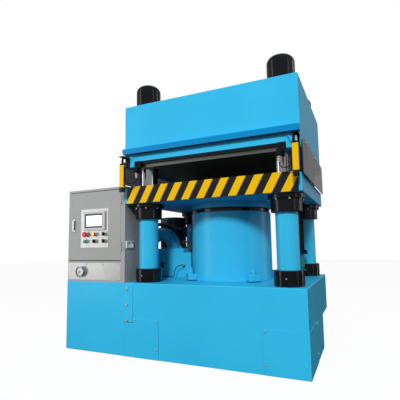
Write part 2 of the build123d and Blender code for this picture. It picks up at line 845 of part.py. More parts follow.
with BuildPart() as pump_motor:
    with BuildSketch(Plane.XY.offset(motor_bottom)):
        Circle(motor_radius)
        with PolarLocations(motor_radius - 2, fin_count):
            Rectangle(fin_reach + 2, 4, align=(Align.MIN, Align.CENTER))
    extrude(amount=cowl_bottom - motor_bottom)
    with BuildSketch(Plane.XY.offset(cowl_bottom)):
        Circle(motor_radius + fin_reach)
    extrude(amount=motor_top - cowl_bottom)
    fillet(pump_motor.faces().sort_by(Axis.Z)[-1].edges(), radius=14)
pump_motor.part.locate(Location((motor_x, motor_y, 0)))
pump_motor.part.label = "pump_motor"
export_step(pump_motor.part, "parts/pump_motor.step")

# Hose from the cylinder's side port over the bend to the oil tank, and the fittings at its ends
hose_radius = 15
hose_start_x = port_face - 40
tank_port_x = left - 340
tank_port_y = front + 610
hose_route = [
    (hose_start_x, 0, hose_port_height), (-420, 0, hose_port_height), (-505, 36, 913), (-600, 72, 948),
    (-700, 88, 966), (-800, 92, 945), (-900, tank_port_y, 880), (-960, tank_port_y, 790),
    (tank_port_x, tank_port_y, 690), (tank_port_x, tank_port_y, 585),
]
pressure_hose = tube(hose_route, hose_radius, "pressure hose")
pressure_hose.label = "pressure_hose"
export_step(pressure_hose, "parts/pressure_hose.step")

pilot_x = left + 275
pilot_y = front + 520
with BuildPart() as hose_fittings:
    with BuildSketch(Plane.YZ.offset(port_face)):
        with Locations((0, hose_port_height)):
            RegularPolygon(24, 6)
    extrude(amount=-22)
    with BuildSketch(Plane.YZ.offset(port_face - 22)):
        with Locations((0, hose_port_height)):
            Circle(18)
    extrude(amount=-18)
    with BuildSketch(Plane.XY.offset(base_top)):
        with Locations((tank_port_x, tank_port_y)):
            Circle(30)
    extrude(amount=14)
    with BuildSketch(Plane.XY.offset(base_top + 14)):
        with Locations((tank_port_x, tank_port_y)):
            RegularPolygon(24, 6)
    extrude(amount=61)
    with BuildSketch(Plane.XY.offset(fill_top)):
        with Locations((pilot_x, pilot_y)):
            RegularPolygon(13, 6)
    extrude(amount=24)
    with BuildLine() as pilot_path:
        Line((pilot_x, pilot_y, fill_top + 24), (pilot_x, pilot_y, 768))
        ThreePointArc(
            (pilot_x, pilot_y, 768), (pilot_x - 8.8, pilot_y, 789.2), (pilot_x - 30, pilot_y, 798),
        )
        Line((pilot_x - 30, pilot_y, 798), (pilot_x - 45, pilot_y, 798))
    with BuildSketch(Plane.XY.offset(fill_top + 24)):
        with Locations((pilot_x, pilot_y)):
            Circle(7)
    sweep(path=pilot_path.wire())
    with BuildSketch(Plane.YZ.offset(pilot_x - 45)):
        with Locations((pilot_y, 798)):
            RegularPolygon(13, 6)
    extrude(amount=-32)
hose_fittings.part.label = "hose_fittings"
export_step(hose_fittings.part, "parts/hose_fittings.step")

# Electrical cabinet on the front of the oil tank
cabinet_left = tank_left
cabinet_right = left
cabinet_depth = 360
cabinet_top = 1216
wall = 3
door_left = left - 526
door_right = left - 37
door_bottom = 671
door_top = 1194
door_lap = 3
door_face = front - 2.5
door_flange = 18
hinge_x = left - 30
hinge_y = front - 5.5
knuckle_radius = 5
hinge_pin_radius = 2.8
hinge_heights = [740, 1090]
knuckle_length = 30

with BuildPart() as cabinet_shell:
    with BuildSketch(Plane.XY.offset(base_top)):
        with Locations((cabinet_left, front)):
            Rectangle(cabinet_right - cabinet_left, cabinet_depth, align=Align.MIN)
    extrude(amount=cabinet_top - base_top)
    fillet(cabinet_shell.edges().filter_by(Axis.Z), radius=4)
    with BuildSketch(Plane.XY.offset(base_top + wall)):
        with Locations((cabinet_left + wall, front + wall)):
            Rectangle(
                cabinet_right - cabinet_left - 2 * wall, cabinet_depth - 2 * wall, align=Align.MIN,
            )
    extrude(amount=cabinet_top - base_top - 2 * wall, mode=Mode.SUBTRACT)
    with BuildSketch(Plane.XZ.offset(-front)):
        with Locations((door_left + door_lap, door_bottom + door_lap)):
            Rectangle(
                door_right - door_left - 2 * door_lap, door_top - door_bottom - 2 * door_lap, align=Align.MIN,
            )
    extrude(amount=-2 * wall, mode=Mode.SUBTRACT)
cabinet_shell.part.label = "cabinet_shell"
export_step(cabinet_shell.part, "parts/cabinet_shell.step")

# Inside the cabinet: a mounting plate with two wiring troughs, a rail and its switchgear
plate_face = front + cabinet_depth - 30
device_rows = [(1090, 8, 52, 80), (900, 6, 70, 96), (745, 4, 105, 70)]
with BuildPart() as mounting_plate:
    with BuildSketch(Plane.XZ.offset(-plate_face)):
        with Locations(((cabinet_left + cabinet_right) / 2, 935)):
            Rectangle(470, 500)
    extrude(amount=-3)
    with BuildSketch(Plane.XZ.offset(-plate_face - 3 + 6)):
        with Locations(((cabinet_left + cabinet_right) / 2, 935)):
            with GridLocations(430, 460, 2, 2):
                Circle(8)
    extrude(amount=-30)
    for height, count, device_width, device_height in device_rows:
        with BuildSketch(Plane.XZ.offset(-plate_face)):
            with Locations(((cabinet_left + cabinet_right) / 2, height)):
                Rectangle(450, 35)
                with GridLocations(device_width + 4, 1, count, 1):
                    Rectangle(device_width, device_height)
        extrude(amount=60)
    for trough_height in (990, 1168, 820):
        with BuildSketch(Plane.XZ.offset(-plate_face)):
            with Locations(((cabinet_left + cabinet_right) / 2, trough_height)):
                Rectangle(450, 30)
        extrude(amount=40)
mounting_plate.part.label = "mounting_plate"
export_step(mounting_plate.part, "parts/mounting_plate.step")

# Hinge halves on the cabinet, each a leaf, a lower knuckle and a pin
with BuildPart() as door_hinges:
    for height in hinge_heights:
        with BuildSketch(Plane.XY.offset(height)):
            with Locations((hinge_x, hinge_y)):
                Circle(knuckle_radius)
            with Locations((hinge_x, front)):
                Rectangle(18, 3, align=(Align.MIN, Align.MAX))
        extrude(amount=knuckle_length)
        with BuildSketch(Plane.XY.offset(height + knuckle_length)):
            with Locations((hinge_x, hinge_y)):
                Circle(hinge_pin_radius)
        extrude(amount=knuckle_length)
door_hinges.part.label = "door_hinges"
export_step(door_hinges.part, "parts/door_hinges.step")

# Door with its operator panel
panel_left = left - 413
panel_right = left - 148
panel_bottom = 765
panel_top = 1060
panel_face = door_face - 2
screen_left = left - 377
screen_right = left - 174
screen_bottom = 896
screen_top = 1039
screen_x = (screen_left + screen_right) / 2
screen_z = (screen_bottom + screen_top) / 2
screen_thickness = 12
screen_body_width = 182
screen_body_height = 124
glass_x = left - 281.5
glass_z = 969
glass_width = 169.5
glass_height = 109
glass_depth = 1
operator_hole = 11.4
estop_place = (left - 358, 866)
lit_place = (left - 271, 866)
selector_1_place = (left - 182, 866)
green_place = (left - 358, 814)
selector_2_place = (left - 271, 814)
selector_3_place = (left - 182, 814)
operator_places = [
    estop_place, lit_place, selector_1_place, green_place, selector_2_place, selector_3_place,
]
handle_x = left - 484
handle_z = 966

with BuildPart() as cabinet_door:
    with BuildSketch(Plane.XZ.offset(-front)):
        with Locations((door_left, door_bottom)):
            Rectangle(door_right - door_left, door_top - door_bottom, align=Align.MIN)
        with Locations(*operator_places):
            Circle(operator_hole, mode=Mode.SUBTRACT)
        with Locations((screen_x, screen_z)):
            Rectangle(screen_body_width + 2, screen_body_height + 2, mode=Mode.SUBTRACT)
        with Locations((handle_x, handle_z)):
            Circle(9.5, mode=Mode.SUBTRACT)
    extrude(amount=front - door_face)
    with BuildSketch(Plane.XZ.offset(-front)):
        with Locations(((door_left + door_right) / 2, (door_bottom + door_top) / 2)):
            Rectangle(door_right - door_left - 14, door_top - door_bottom - 14)
            Rectangle(door_right - door_left - 18, door_top - door_bottom - 18, mode=Mode.SUBTRACT)
    extrude(amount=-door_flange)
    for height in hinge_heights:
        with BuildSketch(Plane.XY.offset(height + knuckle_length + 1)):
            with Locations((hinge_x, hinge_y)):
                Circle(knuckle_radius)
            with Locations((hinge_x, door_face)):
                Rectangle(20, 2.5, align=(Align.MAX, Align.MAX))
            with Locations((hinge_x, hinge_y)):
                Circle(hinge_pin_radius + running_gap, mode=Mode.SUBTRACT)
        extrude(amount=knuckle_length)
cabinet_door.part.label = "cabinet_door"
export_step(cabinet_door.part, "parts/cabinet_door.step")

with BuildPart() as panel_plate:
    with BuildSketch(Plane.XZ.offset(-door_face)):
        with Locations((panel_left, panel_bottom)):
            Rectangle(panel_right - panel_left, panel_top - panel_bottom, align=Align.MIN)
        with Locations(*operator_places):
            Circle(operator_hole, mode=Mode.SUBTRACT)
        with Locations((screen_x, screen_z)):
            Rectangle(screen_body_width + 2, screen_body_height + 2, mode=Mode.SUBTRACT)
    extrude(amount=door_face - panel_face)
panel_plate.part.label = "panel_plate"
export_step(panel_plate.part, "parts/panel_plate.step")

with BuildPart() as touchscreen:
    with BuildSketch(Plane.XZ.offset(-panel_face)):
        with Locations((screen_x, screen_z)):
            RectangleRounded(screen_right - screen_left, screen_top - screen_bottom, 5)
    extrude(amount=screen_thickness)
    chamfer(touchscreen.faces().sort_by(Axis.Y)[0].edges(), length=2)
    with BuildSketch(Plane.XZ.offset(-panel_face + screen_thickness)):
        with Locations((glass_x, glass_z)):
            Rectangle(glass_width, glass_height)
    extrude(amount=-glass_depth, mode=Mode.SUBTRACT)
    with BuildSketch(Plane.XZ.offset(-panel_face)):
        with Locations((screen_x, screen_z)):
            Rectangle(screen_body_width, screen_body_height)
    extrude(amount=-40)
touchscreen.part.label = "touchscreen"
export_step(touchscreen.part, "parts/touchscreen.step")

# Bezel rings and the six operators; each stem runs through its hole and ends behind the door
bezel_radius = 14.75
bezel_depth = 10
stem_radius = operator_hole - running_gap
stem_back = panel_face + 10
estop_head_bottom = panel_face - 16
button_head_bottom = panel_face - 14
knob_bottom = panel_face - 11.5

with BuildPart() as operator_bezels:
    with BuildSketch(Plane.XZ.offset(-panel_face)):
        with Locations(*operator_places):
            Circle(bezel_radius)
            Circle(operator_hole, mode=Mode.SUBTRACT)
    extrude(amount=bezel_depth)
operator_bezels.part.label = "operator_bezels"
export_step(operator_bezels.part, "parts/operator_bezels.step")

with BuildPart() as estop_button:
    with BuildSketch(Plane.XZ.offset(-stem_back)):
        with Locations(estop_place):
            Circle(stem_radius)
    extrude(amount=stem_back - estop_head_bottom)
    with BuildSketch(Plane.XZ.offset(-estop_head_bottom)):
        with Locations(estop_place):
            Circle(20)
    extrude(amount=16)
    fillet(estop_button.faces().sort_by(Axis.Y)[0].edges(), radius=7)
estop_button.part.label = "estop_button"
export_step(estop_button.part, "parts/estop_button.step")

with BuildPart() as lit_button:
    with BuildSketch(Plane.XZ.offset(-stem_back)):
        with Locations(lit_place):
            Circle(stem_radius)
    extrude(amount=stem_back - button_head_bottom)
    with BuildSketch(Plane.XZ.offset(-button_head_bottom)):
        with Locations(lit_place):
            Circle(13.5)
    extrude(amount=13)
    fillet(lit_button.faces().sort_by(Axis.Y)[0].edges(), radius=2.5)
lit_button.part.label = "lit_button"
export_step(lit_button.part, "parts/lit_button.step")

with BuildPart() as green_button:
    with BuildSketch(Plane.XZ.offset(-stem_back)):
        with Locations(green_place):
            Circle(stem_radius)
    extrude(amount=stem_back - button_head_bottom)
    with BuildSketch(Plane.XZ.offset(-button_head_bottom)):
        with Locations(green_place):
            Circle(13)
    extrude(amount=9)
    fillet(green_button.faces().sort_by(Axis.Y)[0].edges(), radius=1.5)
green_button.part.label = "green_button"
export_step(green_button.part, "parts/green_button.step")


def selector(place):
    with BuildPart() as knob:
        with BuildSketch(Plane.XZ.offset(-stem_back)):
            with Locations(place):
                Circle(stem_radius)
        extrude(amount=stem_back - knob_bottom + 0.5)
        with BuildSketch(Plane.XZ.offset(-knob_bottom)):
            with Locations(place):
                SlotOverall(27, 9, rotation=90)
        extrude(amount=17)
        fillet(knob.faces().sort_by(Axis.Y)[0].edges(), radius=1.5)
    return knob.part


selector_1 = selector(selector_1_place)
selector_1.label = "selector_1"
export_step(selector_1, "parts/selector_1.step")
selector_2 = selector(selector_2_place)
selector_2.label = "selector_2"
export_step(selector_2, "parts/selector_2.step")
selector_3 = selector(selector_3_place)
selector_3.label = "selector_3"
export_step(selector_3, "parts/selector_3.step")

# Swing handle of the door
with BuildPart() as handle_plate:
    with BuildSketch(Plane.XZ.offset(-door_face)):
        with Locations((handle_x, handle_z - 27)):
            RectangleRounded(30, 96, 8)
        with Locations((handle_x, handle_z)):
            Circle(9.5, mode=Mode.SUBTRACT)
    extrude(amount=5)
    chamfer(handle_plate.faces().sort_by(Axis.Y)[0].outer_wire().edges(), length=1.5)
handle_plate.part.label = "handle_plate"
export_step(handle_plate.part, "parts/handle_plate.step")

with BuildPart() as door_handle:
    with BuildSketch(Plane.XZ.offset(-door_face - 12)):
        with Locations((handle_x, handle_z)):
            Circle(9)
    extrude(amount=18)
    with BuildSketch(Plane.XZ.offset(-door_face + 6)):
        with Locations((handle_x, handle_z - 27)):
            SlotOverall(76, 20, rotation=90)
    extrude(amount=10)
    fillet(door_handle.faces().sort_by(Axis.Y)[0].edges(), radius=3)
door_handle.part.label = "door_handle"
export_step(door_handle.part, "parts/door_handle.step")

# Fixed plate under the door with the pressure gauge
lower_plate_left = left - 537
lower_plate_right = left - 33
lower_plate_bottom = 523
lower_plate_top = 650
plate_front = front - 2
gauge_x = left - 403
gauge_z = 585
gauge_radius = 41
dial_y = plate_front - 16
pin_radius = 1.8
pin_length = 6

with BuildPart() as lower_plate:
    with BuildSketch(Plane.XZ.offset(-front)):
        with Locations((lower_plate_left, lower_plate_bottom)):
            Rectangle(
                lower_plate_right - lower_plate_left, lower_plate_top - lower_plate_bottom, align=Align.MIN,
            )
    extrude(amount=front - plate_front)
lower_plate.part.label = "lower_plate"
export_step(lower_plate.part, "parts/lower_plate.step")

with BuildPart() as pressure_gauge:
    with BuildSketch(Plane.XZ.offset(-plate_front)):
        with Locations((gauge_x, gauge_z)):
            Circle(gauge_radius)
    extrude(amount=26)
    fillet(pressure_gauge.faces().sort_by(Axis.Y)[0].edges(), radius=4)
    with BuildSketch(Plane.XZ.offset(-dial_y)):
        with Locations((gauge_x, gauge_z)):
            Circle(gauge_radius - 5)
    extrude(amount=20, mode=Mode.SUBTRACT)
    with BuildSketch(Plane.XZ.offset(-dial_y)):
        with Locations((gauge_x, gauge_z)):
            Circle(pin_radius)
    extrude(amount=pin_length)
pressure_gauge.part.label = "pressure_gauge"
export_step(pressure_gauge.part, "parts/pressure_gauge.step")

with BuildPart() as gauge_pointer:
    with BuildSketch(Plane.XZ.offset(-dial_y + 3)):
        with Locations((gauge_x, gauge_z)):
            Circle(5)
        with BuildLine():
            Polyline(
                (gauge_x - 3, gauge_z + 3), (gauge_x - 20, gauge_z - 20), (gauge_x + 3, gauge_z - 3),
                close=True,
            )
        make_face()
        with Locations((gauge_x, gauge_z)):
            Circle(pin_radius + running_gap, mode=Mode.SUBTRACT)
    extrude(amount=1.5)
gauge_pointer.part.label = "gauge_pointer"
export_step(gauge_pointer.part, "parts/gauge_pointer.step")
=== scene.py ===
"""Finishes and fine details of a hydraulic die cutting press, built around its CAD frame."""

from math import cos, pi, radians, sin

import bmesh
import bpy
from bpy.props import FloatProperty, FloatVectorProperty, PointerProperty
from mathutils import Matrix, Vector


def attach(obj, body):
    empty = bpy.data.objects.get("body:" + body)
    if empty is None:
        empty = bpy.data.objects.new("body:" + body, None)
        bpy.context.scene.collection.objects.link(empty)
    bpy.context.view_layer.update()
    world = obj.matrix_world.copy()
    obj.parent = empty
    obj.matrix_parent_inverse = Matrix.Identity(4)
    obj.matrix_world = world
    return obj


bl_info = {
    "name": "Die cutting press",
    "version": (1, 0, 0),
    "blender": (4, 5, 0),
    "location": "View3D > Sidebar > Press",
    "description": "Finishes and fine details of a hydraulic die cutting press",
    "category": "Object",
}

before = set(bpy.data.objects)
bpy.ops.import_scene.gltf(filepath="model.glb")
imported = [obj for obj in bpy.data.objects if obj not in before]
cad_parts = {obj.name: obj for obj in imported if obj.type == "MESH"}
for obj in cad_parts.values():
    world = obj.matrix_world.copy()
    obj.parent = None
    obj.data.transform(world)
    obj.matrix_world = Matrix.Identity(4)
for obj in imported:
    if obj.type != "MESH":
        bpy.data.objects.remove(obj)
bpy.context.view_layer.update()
MM = 0.001

# Places on the machine that several pieces share, in millimetres
COLUMNS = [(x, y) for x in (-515, 515) for y in (-390, 390)]
GAUGE_X, GAUGE_Z = -1043, 585

# The camera, in metres, fitted to the machine's corners
CAMERA_PLACE = (0.950, -2.636, 0.769)
CAMERA_FORWARD = (-0.40689, 0.90768, 0.10277)
CAMERA_UP = (0.05767, -0.08675, 0.99456)


def linear(code):
    """Scene colour of an sRGB hex code."""
    parts = [int(code[at:at + 2], 16) / 255 for at in (1, 3, 5)]
    return tuple(part / 12.92 if part <= 0.04045 else ((part + 0.055) / 1.055) ** 2.4
                 for part in parts)


class PressColours(bpy.types.PropertyGroup):
    """Colours a shop would choose for the machine"""
    body: FloatVectorProperty(
        name="Body", description="Enamel of the frame, table, crown and tanks",
        subtype="COLOR", size=3, min=0, max=1, default=linear("#2DADD9"))
    # Painted shade: the band's blue is a darker copy of the body blue, for the shade on its
    # downward facing front
    band: FloatVectorProperty(
        name="Band", description="Enamel of the band across the crown",
        subtype="COLOR", size=3, min=0, max=1, default=linear("#0287C6"))
    black: FloatVectorProperty(
        name="Black steel", description="Enamel of the collars, bushes and nuts",
        subtype="COLOR", size=3, min=0, max=1, default=linear("#0B0C11"))
    cabinet: FloatVectorProperty(
        name="Cabinet", description="Powder coat of the electrical cabinet",
        subtype="COLOR", size=3, min=0, max=1, default=linear("#969797"))
    hazard: FloatVectorProperty(
        name="Hazard yellow", description="Yellow of the stripes and the light curtains",
        subtype="COLOR", size=3, min=0, max=1, default=linear("#DCAF00"))
    motor: FloatVectorProperty(
        name="Motor", description="Enamel of the pump motor",
        subtype="COLOR", size=3, min=0, max=1, default=linear("#0F3A44"))
    guard: FloatVectorProperty(
        name="Guard tint", description="Tint of the smoked guard panels",
        subtype="COLOR", size=3, min=0, max=1, default=linear("#504D5A"))


class PressSizes(bpy.types.PropertyGroup):
    """Sizes of the details, and power of the lamps"""
    flange_screw: FloatProperty(
        name="Flange screw head", description="Width of the cap screws under the bush flanges",
        unit="LENGTH", default=0.013, min=0.006, max=0.016)
    panel_screw: FloatProperty(
        name="Panel screw head",
        description="Width of the pan head screws of the cabinet's lower plate",
        unit="LENGTH", default=0.009, min=0.004, max=0.014)
    key_lamp: FloatProperty(
        name="Key lamp",
        description="Power in watts of the softbox above and in front of the machine",
        default=2420, min=0, max=8000)
    card_lamp: FloatProperty(
        name="Card lamp",
        description="Power in watts of the narrow card that the cabinet's plates mirror",
        default=8, min=0, max=2000)
    side_lamp: FloatProperty(
        name="Side lamps", description="Power in watts of each tall strip at the sides",
        default=26, min=0, max=2000)
    front_lamp: FloatProperty(
        name="Front strip",
        description="Power in watts of the thin strip that draws the second line on round parts",
        default=12, min=0, max=2000)


# Shader nodes

def add_node(tree, kind, inputs=None, **settings):
    """Adds a shader node, sets it, and fills its inputs with values or other nodes' outputs."""
    node = tree.nodes.new(kind)
    for name, value in settings.items():
        setattr(node, name, value)
    for name, value in (inputs or {}).items():
        if isinstance(value, bpy.types.NodeSocket):
            tree.links.new(value, node.inputs[name])
        else:
            node.inputs[name].default_value = value
    return node


def start_material(name):
    """Makes an empty node material and returns it with its tree and its place on the object."""
    material = bpy.data.materials.new(name)
    material.use_nodes = True
    material.node_tree.nodes.clear()
    place = add_node(material.node_tree, "ShaderNodeTexCoord").outputs["Object"]
    return material, material.node_tree, place


def shades(tree, factor, first, second):
    """Colour between two others by a factor output.
    The Mix node has its factor and its two colours on sockets 0, 6 and 7, and its result on 2."""
    mix = add_node(tree, "ShaderNodeMix", {0: factor, 6: (*first, 1), 7: (*second, 1)},
                   data_type="RGBA")
    return mix.outputs[2]


def ramp(tree, value, low, high, to_low, to_high):
    """Maps a value's range to another range."""
    inputs = {"Value": value, "From Min": low, "From Max": high,
              "To Min": to_low, "To Max": to_high}
    return add_node(tree, "ShaderNodeMapRange", inputs).outputs["Result"]


def every(length):
    """Scale of a noise whose cells are about so many millimetres across."""
    return 1000 / length


def bands(length):
    """Scale of a wave texture whose bands repeat about every so many millimetres."""
    return 1000 / length / 3.14


def lighter(colour, by):
    return tuple(min(1, channel * (1 + by) + 0.02 * by) for channel in colour)


def darker(colour, by):
    return tuple(channel * (1 - by) for channel in colour)


def sprayed_enamel(name, colour, roughness=0.34, coat=0.04, gloss=0.4):
    """Two part enamel sprayed on steel: a wet gloss with faint orange peel, paler along the
    edges as a painted highlight of their rounding and a little wear, with patches of dust haze
    that dull it a little."""
    material, tree, place = start_material(name)
    film = add_node(tree, "ShaderNodeTexNoise", {
        "Vector": place, "Scale": every(420), "Detail": 3})
    waves = add_node(tree, "ShaderNodeTexNoise", {
        "Vector": place, "Scale": every(9), "Detail": 2})
    grit = add_node(tree, "ShaderNodeTexNoise", {
        "Vector": place, "Scale": every(45), "Detail": 6})
    edge = add_node(tree, "ShaderNodeBevel", {"Radius": 4 * MM}, samples=4)
    flat = add_node(tree, "ShaderNodeNewGeometry")
    turned = add_node(tree, "ShaderNodeVectorMath", {
        0: edge.outputs["Normal"], 1: flat.outputs["Normal"]}, operation="DOT_PRODUCT")
    # Painted highlight: colour goes paler within 4 mm of an edge, for the light that rounded
    # edges catch, with a little wear
    edge_highlight_and_wear = ramp(tree, turned.outputs["Value"], 0.995, 0.75, 0, 0.55)
    body = shades(tree, ramp(tree, film.outputs["Fac"], 0.35, 0.65, 0, 1), darker(colour, 0.03),
                  lighter(colour, 0.03))
    paint = add_node(tree, "ShaderNodeMix", {0: edge_highlight_and_wear, 6: body, 7: (*lighter(colour, 0.35), 1)},
                     data_type="RGBA")
    bump = add_node(tree, "ShaderNodeBump", {
        "Height": waves.outputs["Fac"], "Strength": 0.03, "Distance": 0.3 * MM,
        "Normal": edge.outputs["Normal"]})
    shine = ramp(tree, grit.outputs["Fac"], 0.3, 0.7, roughness - 0.02, roughness + 0.03)
    shader = add_node(tree, "ShaderNodeBsdfPrincipled", {
        "Base Color": paint.outputs[2], "Metallic": 0.0, "IOR": 1.45,
        "Specular IOR Level": gloss, "Coat Weight": coat, "Coat Roughness": 0.08,
        "Normal": bump.outputs["Normal"], "Roughness": shine})
    add_node(tree, "ShaderNodeOutputMaterial", {"Surface": shader.outputs[0]})
    return material


def powder_coat(name, colour):
    """Polyester powder baked on sheet: even satin with a fine hammered grain."""
    material, tree, place = start_material(name)
    cells = add_node(tree, "ShaderNodeTexNoise", {
        "Vector": place, "Scale": every(2.5), "Detail": 3})
    tone = add_node(tree, "ShaderNodeTexNoise", {
        "Vector": place, "Scale": every(300), "Detail": 2})
    bump = add_node(tree, "ShaderNodeBump", {
        "Height": cells.outputs["Fac"], "Strength": 0.25, "Distance": 0.2 * MM})
    shader = add_node(tree, "ShaderNodeBsdfPrincipled", {
        "Base Color": shades(tree, tone.outputs["Fac"], darker(colour, 0.05),
                             lighter(colour, 0.05)),
        "Normal": bump.outputs["Normal"], "IOR": 1.5,
        "Roughness": ramp(tree, cells.outputs["Fac"], 0.3, 0.7, 0.44, 0.56)})
    add_node(tree, "ShaderNodeOutputMaterial", {"Surface": shader.outputs[0]})
    return material


def worked_metal(name, colour, roughness, lay=(1, 1, 1), pitch=1.5, depth=0.1, spread=0.08,
                 bare=1.0):
    """Metal with the lay of its last operation: lines along the axis whose lay is small.
    Less than fully bare is a metal under a thin scattering film, such as passivated zinc."""
    material, tree, place = start_material(name)
    stretched = add_node(tree, "ShaderNodeMapping", {"Vector": place, "Scale": lay})
    lines = add_node(tree, "ShaderNodeTexNoise", {
        "Vector": stretched.outputs["Vector"], "Scale": every(pitch), "Detail": 4})
    stains = add_node(tree, "ShaderNodeTexNoise", {
        "Vector": place, "Scale": every(70), "Detail": 4})
    bump = add_node(tree, "ShaderNodeBump", {
        "Height": lines.outputs["Fac"], "Strength": depth, "Distance": 0.1 * MM})
    shader = add_node(tree, "ShaderNodeBsdfPrincipled", {
        "Base Color": shades(tree, stains.outputs["Fac"], darker(colour, 0.1),
                             lighter(colour, 0.05)),
        "Metallic": bare, "Normal": bump.outputs["Normal"],
        "Roughness": ramp(tree, lines.outputs["Fac"], 0.3, 0.7, roughness - spread / 2,
                          roughness + spread)})
    add_node(tree, "ShaderNodeOutputMaterial", {"Surface": shader.outputs[0]})
    return material


def moulded_plastic(name, colour, roughness=0.3, depth=0.1, light=0.0):
    """Injection moulded part: even colour, a fine mould grain, and a skin a little uneven."""
    material, tree, place = start_material(name)
    skin = add_node(tree, "ShaderNodeTexNoise", {
        "Vector": place, "Scale": every(0.8), "Detail": 2})
    tone = add_node(tree, "ShaderNodeTexNoise", {
        "Vector": place, "Scale": every(25), "Detail": 2})
    bump = add_node(tree, "ShaderNodeBump", {
        "Height": skin.outputs["Fac"], "Strength": depth, "Distance": 0.05 * MM})
    shader = add_node(tree, "ShaderNodeBsdfPrincipled", {
        "Base Color": shades(tree, tone.outputs["Fac"], darker(colour, 0.06),
                             lighter(colour, 0.06)),
        "Normal": bump.outputs["Normal"], "IOR": 1.48,
        "Emission Color": (*colour, 1), "Emission Strength": light,
        "Roughness": ramp(tree, tone.outputs["Fac"], 0.3, 0.7, roughness - 0.04,
                          roughness + 0.06)})
    add_node(tree, "ShaderNodeOutputMaterial", {"Surface": shader.outputs[0]})
    return material


def smoked_polycarbonate(name, colour):
    """Smoked polycarbonate sheet: a dark tint that lets some light through, with wiping haze."""
    material, tree, place = start_material(name)
    haze = add_node(tree, "ShaderNodeTexNoise", {
        "Vector": place, "Scale": every(130), "Detail": 5})
    shader = add_node(tree, "ShaderNodeBsdfPrincipled", {
        "Base Color": shades(tree, haze.outputs["Fac"], darker(colour, 0.12),
                             lighter(colour, 0.12)),
        "Roughness": ramp(tree, haze.outputs["Fac"], 0.3, 0.7, 0.08, 0.22),
        "IOR": 1.58, "Alpha": 0.82})
    add_node(tree, "ShaderNodeOutputMaterial", {"Surface": shader.outputs[0]})
    return material


def clear_glass(name):
    """Flat instrument glass: nearly invisible, with a sharp reflection and specks of dust."""
    material, tree, place = start_material(name)
    dust = add_node(tree, "ShaderNodeTexNoise", {
        "Vector": place, "Scale": every(3), "Detail": 3})
    shader = add_node(tree, "ShaderNodeBsdfPrincipled", {
        "Base Color": shades(tree, dust.outputs["Fac"], linear("#EDF3F3"), linear("#FFFFFF")),
        "Roughness": ramp(tree, dust.outputs["Fac"], 0.4, 0.7, 0.02, 0.12),
        "IOR": 1.5, "Alpha": 0.06})
    add_node(tree, "ShaderNodeOutputMaterial", {"Surface": shader.outputs[0]})
    return material


def fibre_board(name):
    """Glass fibre heat board: near black, pressed in layers that show as lines on the edge."""
    material, tree, place = start_material(name)
    layers = add_node(tree, "ShaderNodeTexWave", {
        "Vector": place, "Scale": bands(4), "Distortion": 2, "Detail": 2}, bands_direction="Z")
    fibres = add_node(tree, "ShaderNodeTexNoise", {
        "Vector": place, "Scale": every(6), "Detail": 6})
    bump = add_node(tree, "ShaderNodeBump", {
        "Height": layers.outputs["Fac"], "Strength": 0.3, "Distance": 0.3 * MM})
    shader = add_node(tree, "ShaderNodeBsdfPrincipled", {
        "Base Color": shades(tree, fibres.outputs["Fac"], linear("#0E0E11"), linear("#1C1B20")),
        "Normal": bump.outputs["Normal"],
        "Roughness": ramp(tree, fibres.outputs["Fac"], 0.3, 0.7, 0.5, 0.75)})
    add_node(tree, "ShaderNodeOutputMaterial", {"Surface": shader.outputs[0]})
    return material


def ribbed_rubber(name, colour):
    """Nitrile hose cover: matt black with the wrap marks of its curing cloth, drawn 6 mm apart,
    coarser than real ones, so that they show."""
    material, tree, place = start_material(name)
    wrap = add_node(tree, "ShaderNodeTexWave", {
        "Vector": place, "Scale": bands(6), "Distortion": 1.5}, bands_direction="X")
    chalk = add_node(tree, "ShaderNodeTexNoise", {
        "Vector": place, "Scale": every(30), "Detail": 4})
    bump = add_node(tree, "ShaderNodeBump", {
        "Height": wrap.outputs["Fac"], "Strength": 0.3, "Distance": 0.3 * MM})
    shader = add_node(tree, "ShaderNodeBsdfPrincipled", {
        "Base Color": shades(tree, chalk.outputs["Fac"], darker(colour, 0.2),
                             lighter(colour, 0.3)),
        "Normal": bump.outputs["Normal"],
        "Roughness": ramp(tree, chalk.outputs["Fac"], 0.3, 0.7, 0.42, 0.62)})
    add_node(tree, "ShaderNodeOutputMaterial", {"Surface": shader.outputs[0]})
    return material


def coat_nodes(material, *names):
    """Gives CAD nodes their finish."""
    for name in names:
        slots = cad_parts[name].data.materials
        slots.clear()
        slots.append(material)


# Modelling by hand

TURN = {"x": (0, pi / 2, 0), "y": (pi / 2, 0, 0), "z": (0, 0, 0)}


def deselect():
    bpy.ops.object.select_all(action="DESELECT")


def settle(name):
    """Names the new piece and puts its place into its mesh."""
    piece = bpy.context.object
    piece.name = piece.data.name = name
    bpy.ops.object.transform_apply(location=True, rotation=True, scale=True)
    return piece


def bar(name, centre, radius, length, along="z", sides=24):
    """Adds a round or many sided bar about its centre, in millimetres."""
    deselect()
    bpy.ops.mesh.primitive_cylinder_add(
        vertices=sides, radius=radius * MM, depth=length * MM, location=Vector(centre) * MM,
        rotation=TURN[along])
    return settle(name)


def block(name, low, high):
    """Adds a block between two corners, in millimetres."""
    deselect()
    low, high = Vector(low) * MM, Vector(high) * MM
    bpy.ops.mesh.primitive_cube_add(size=1, location=(low + high) / 2, scale=high - low)
    return settle(name)


def open_faces(piece, test):
    """Opens the piece in edit mode and selects the faces that pass a test of their centre in
    millimetres and their normal."""
    deselect()
    piece.select_set(True)
    bpy.context.view_layer.objects.active = piece
    bpy.ops.object.mode_set(mode="EDIT")
    bpy.ops.mesh.select_mode(type="FACE")
    bpy.ops.mesh.select_all(action="DESELECT")
    mesh = bmesh.from_edit_mesh(piece.data)
    chosen = [face for face in mesh.faces if test(face.calc_center_median() / MM, face.normal)]
    if not chosen:
        raise RuntimeError(piece.name + " has no such face")
    for face in chosen:
        face.select_set(True)
    bmesh.update_edit_mesh(piece.data)


def inset(by):
    """Insets the selected faces, in millimetres."""
    bpy.ops.mesh.inset(thickness=by * MM)


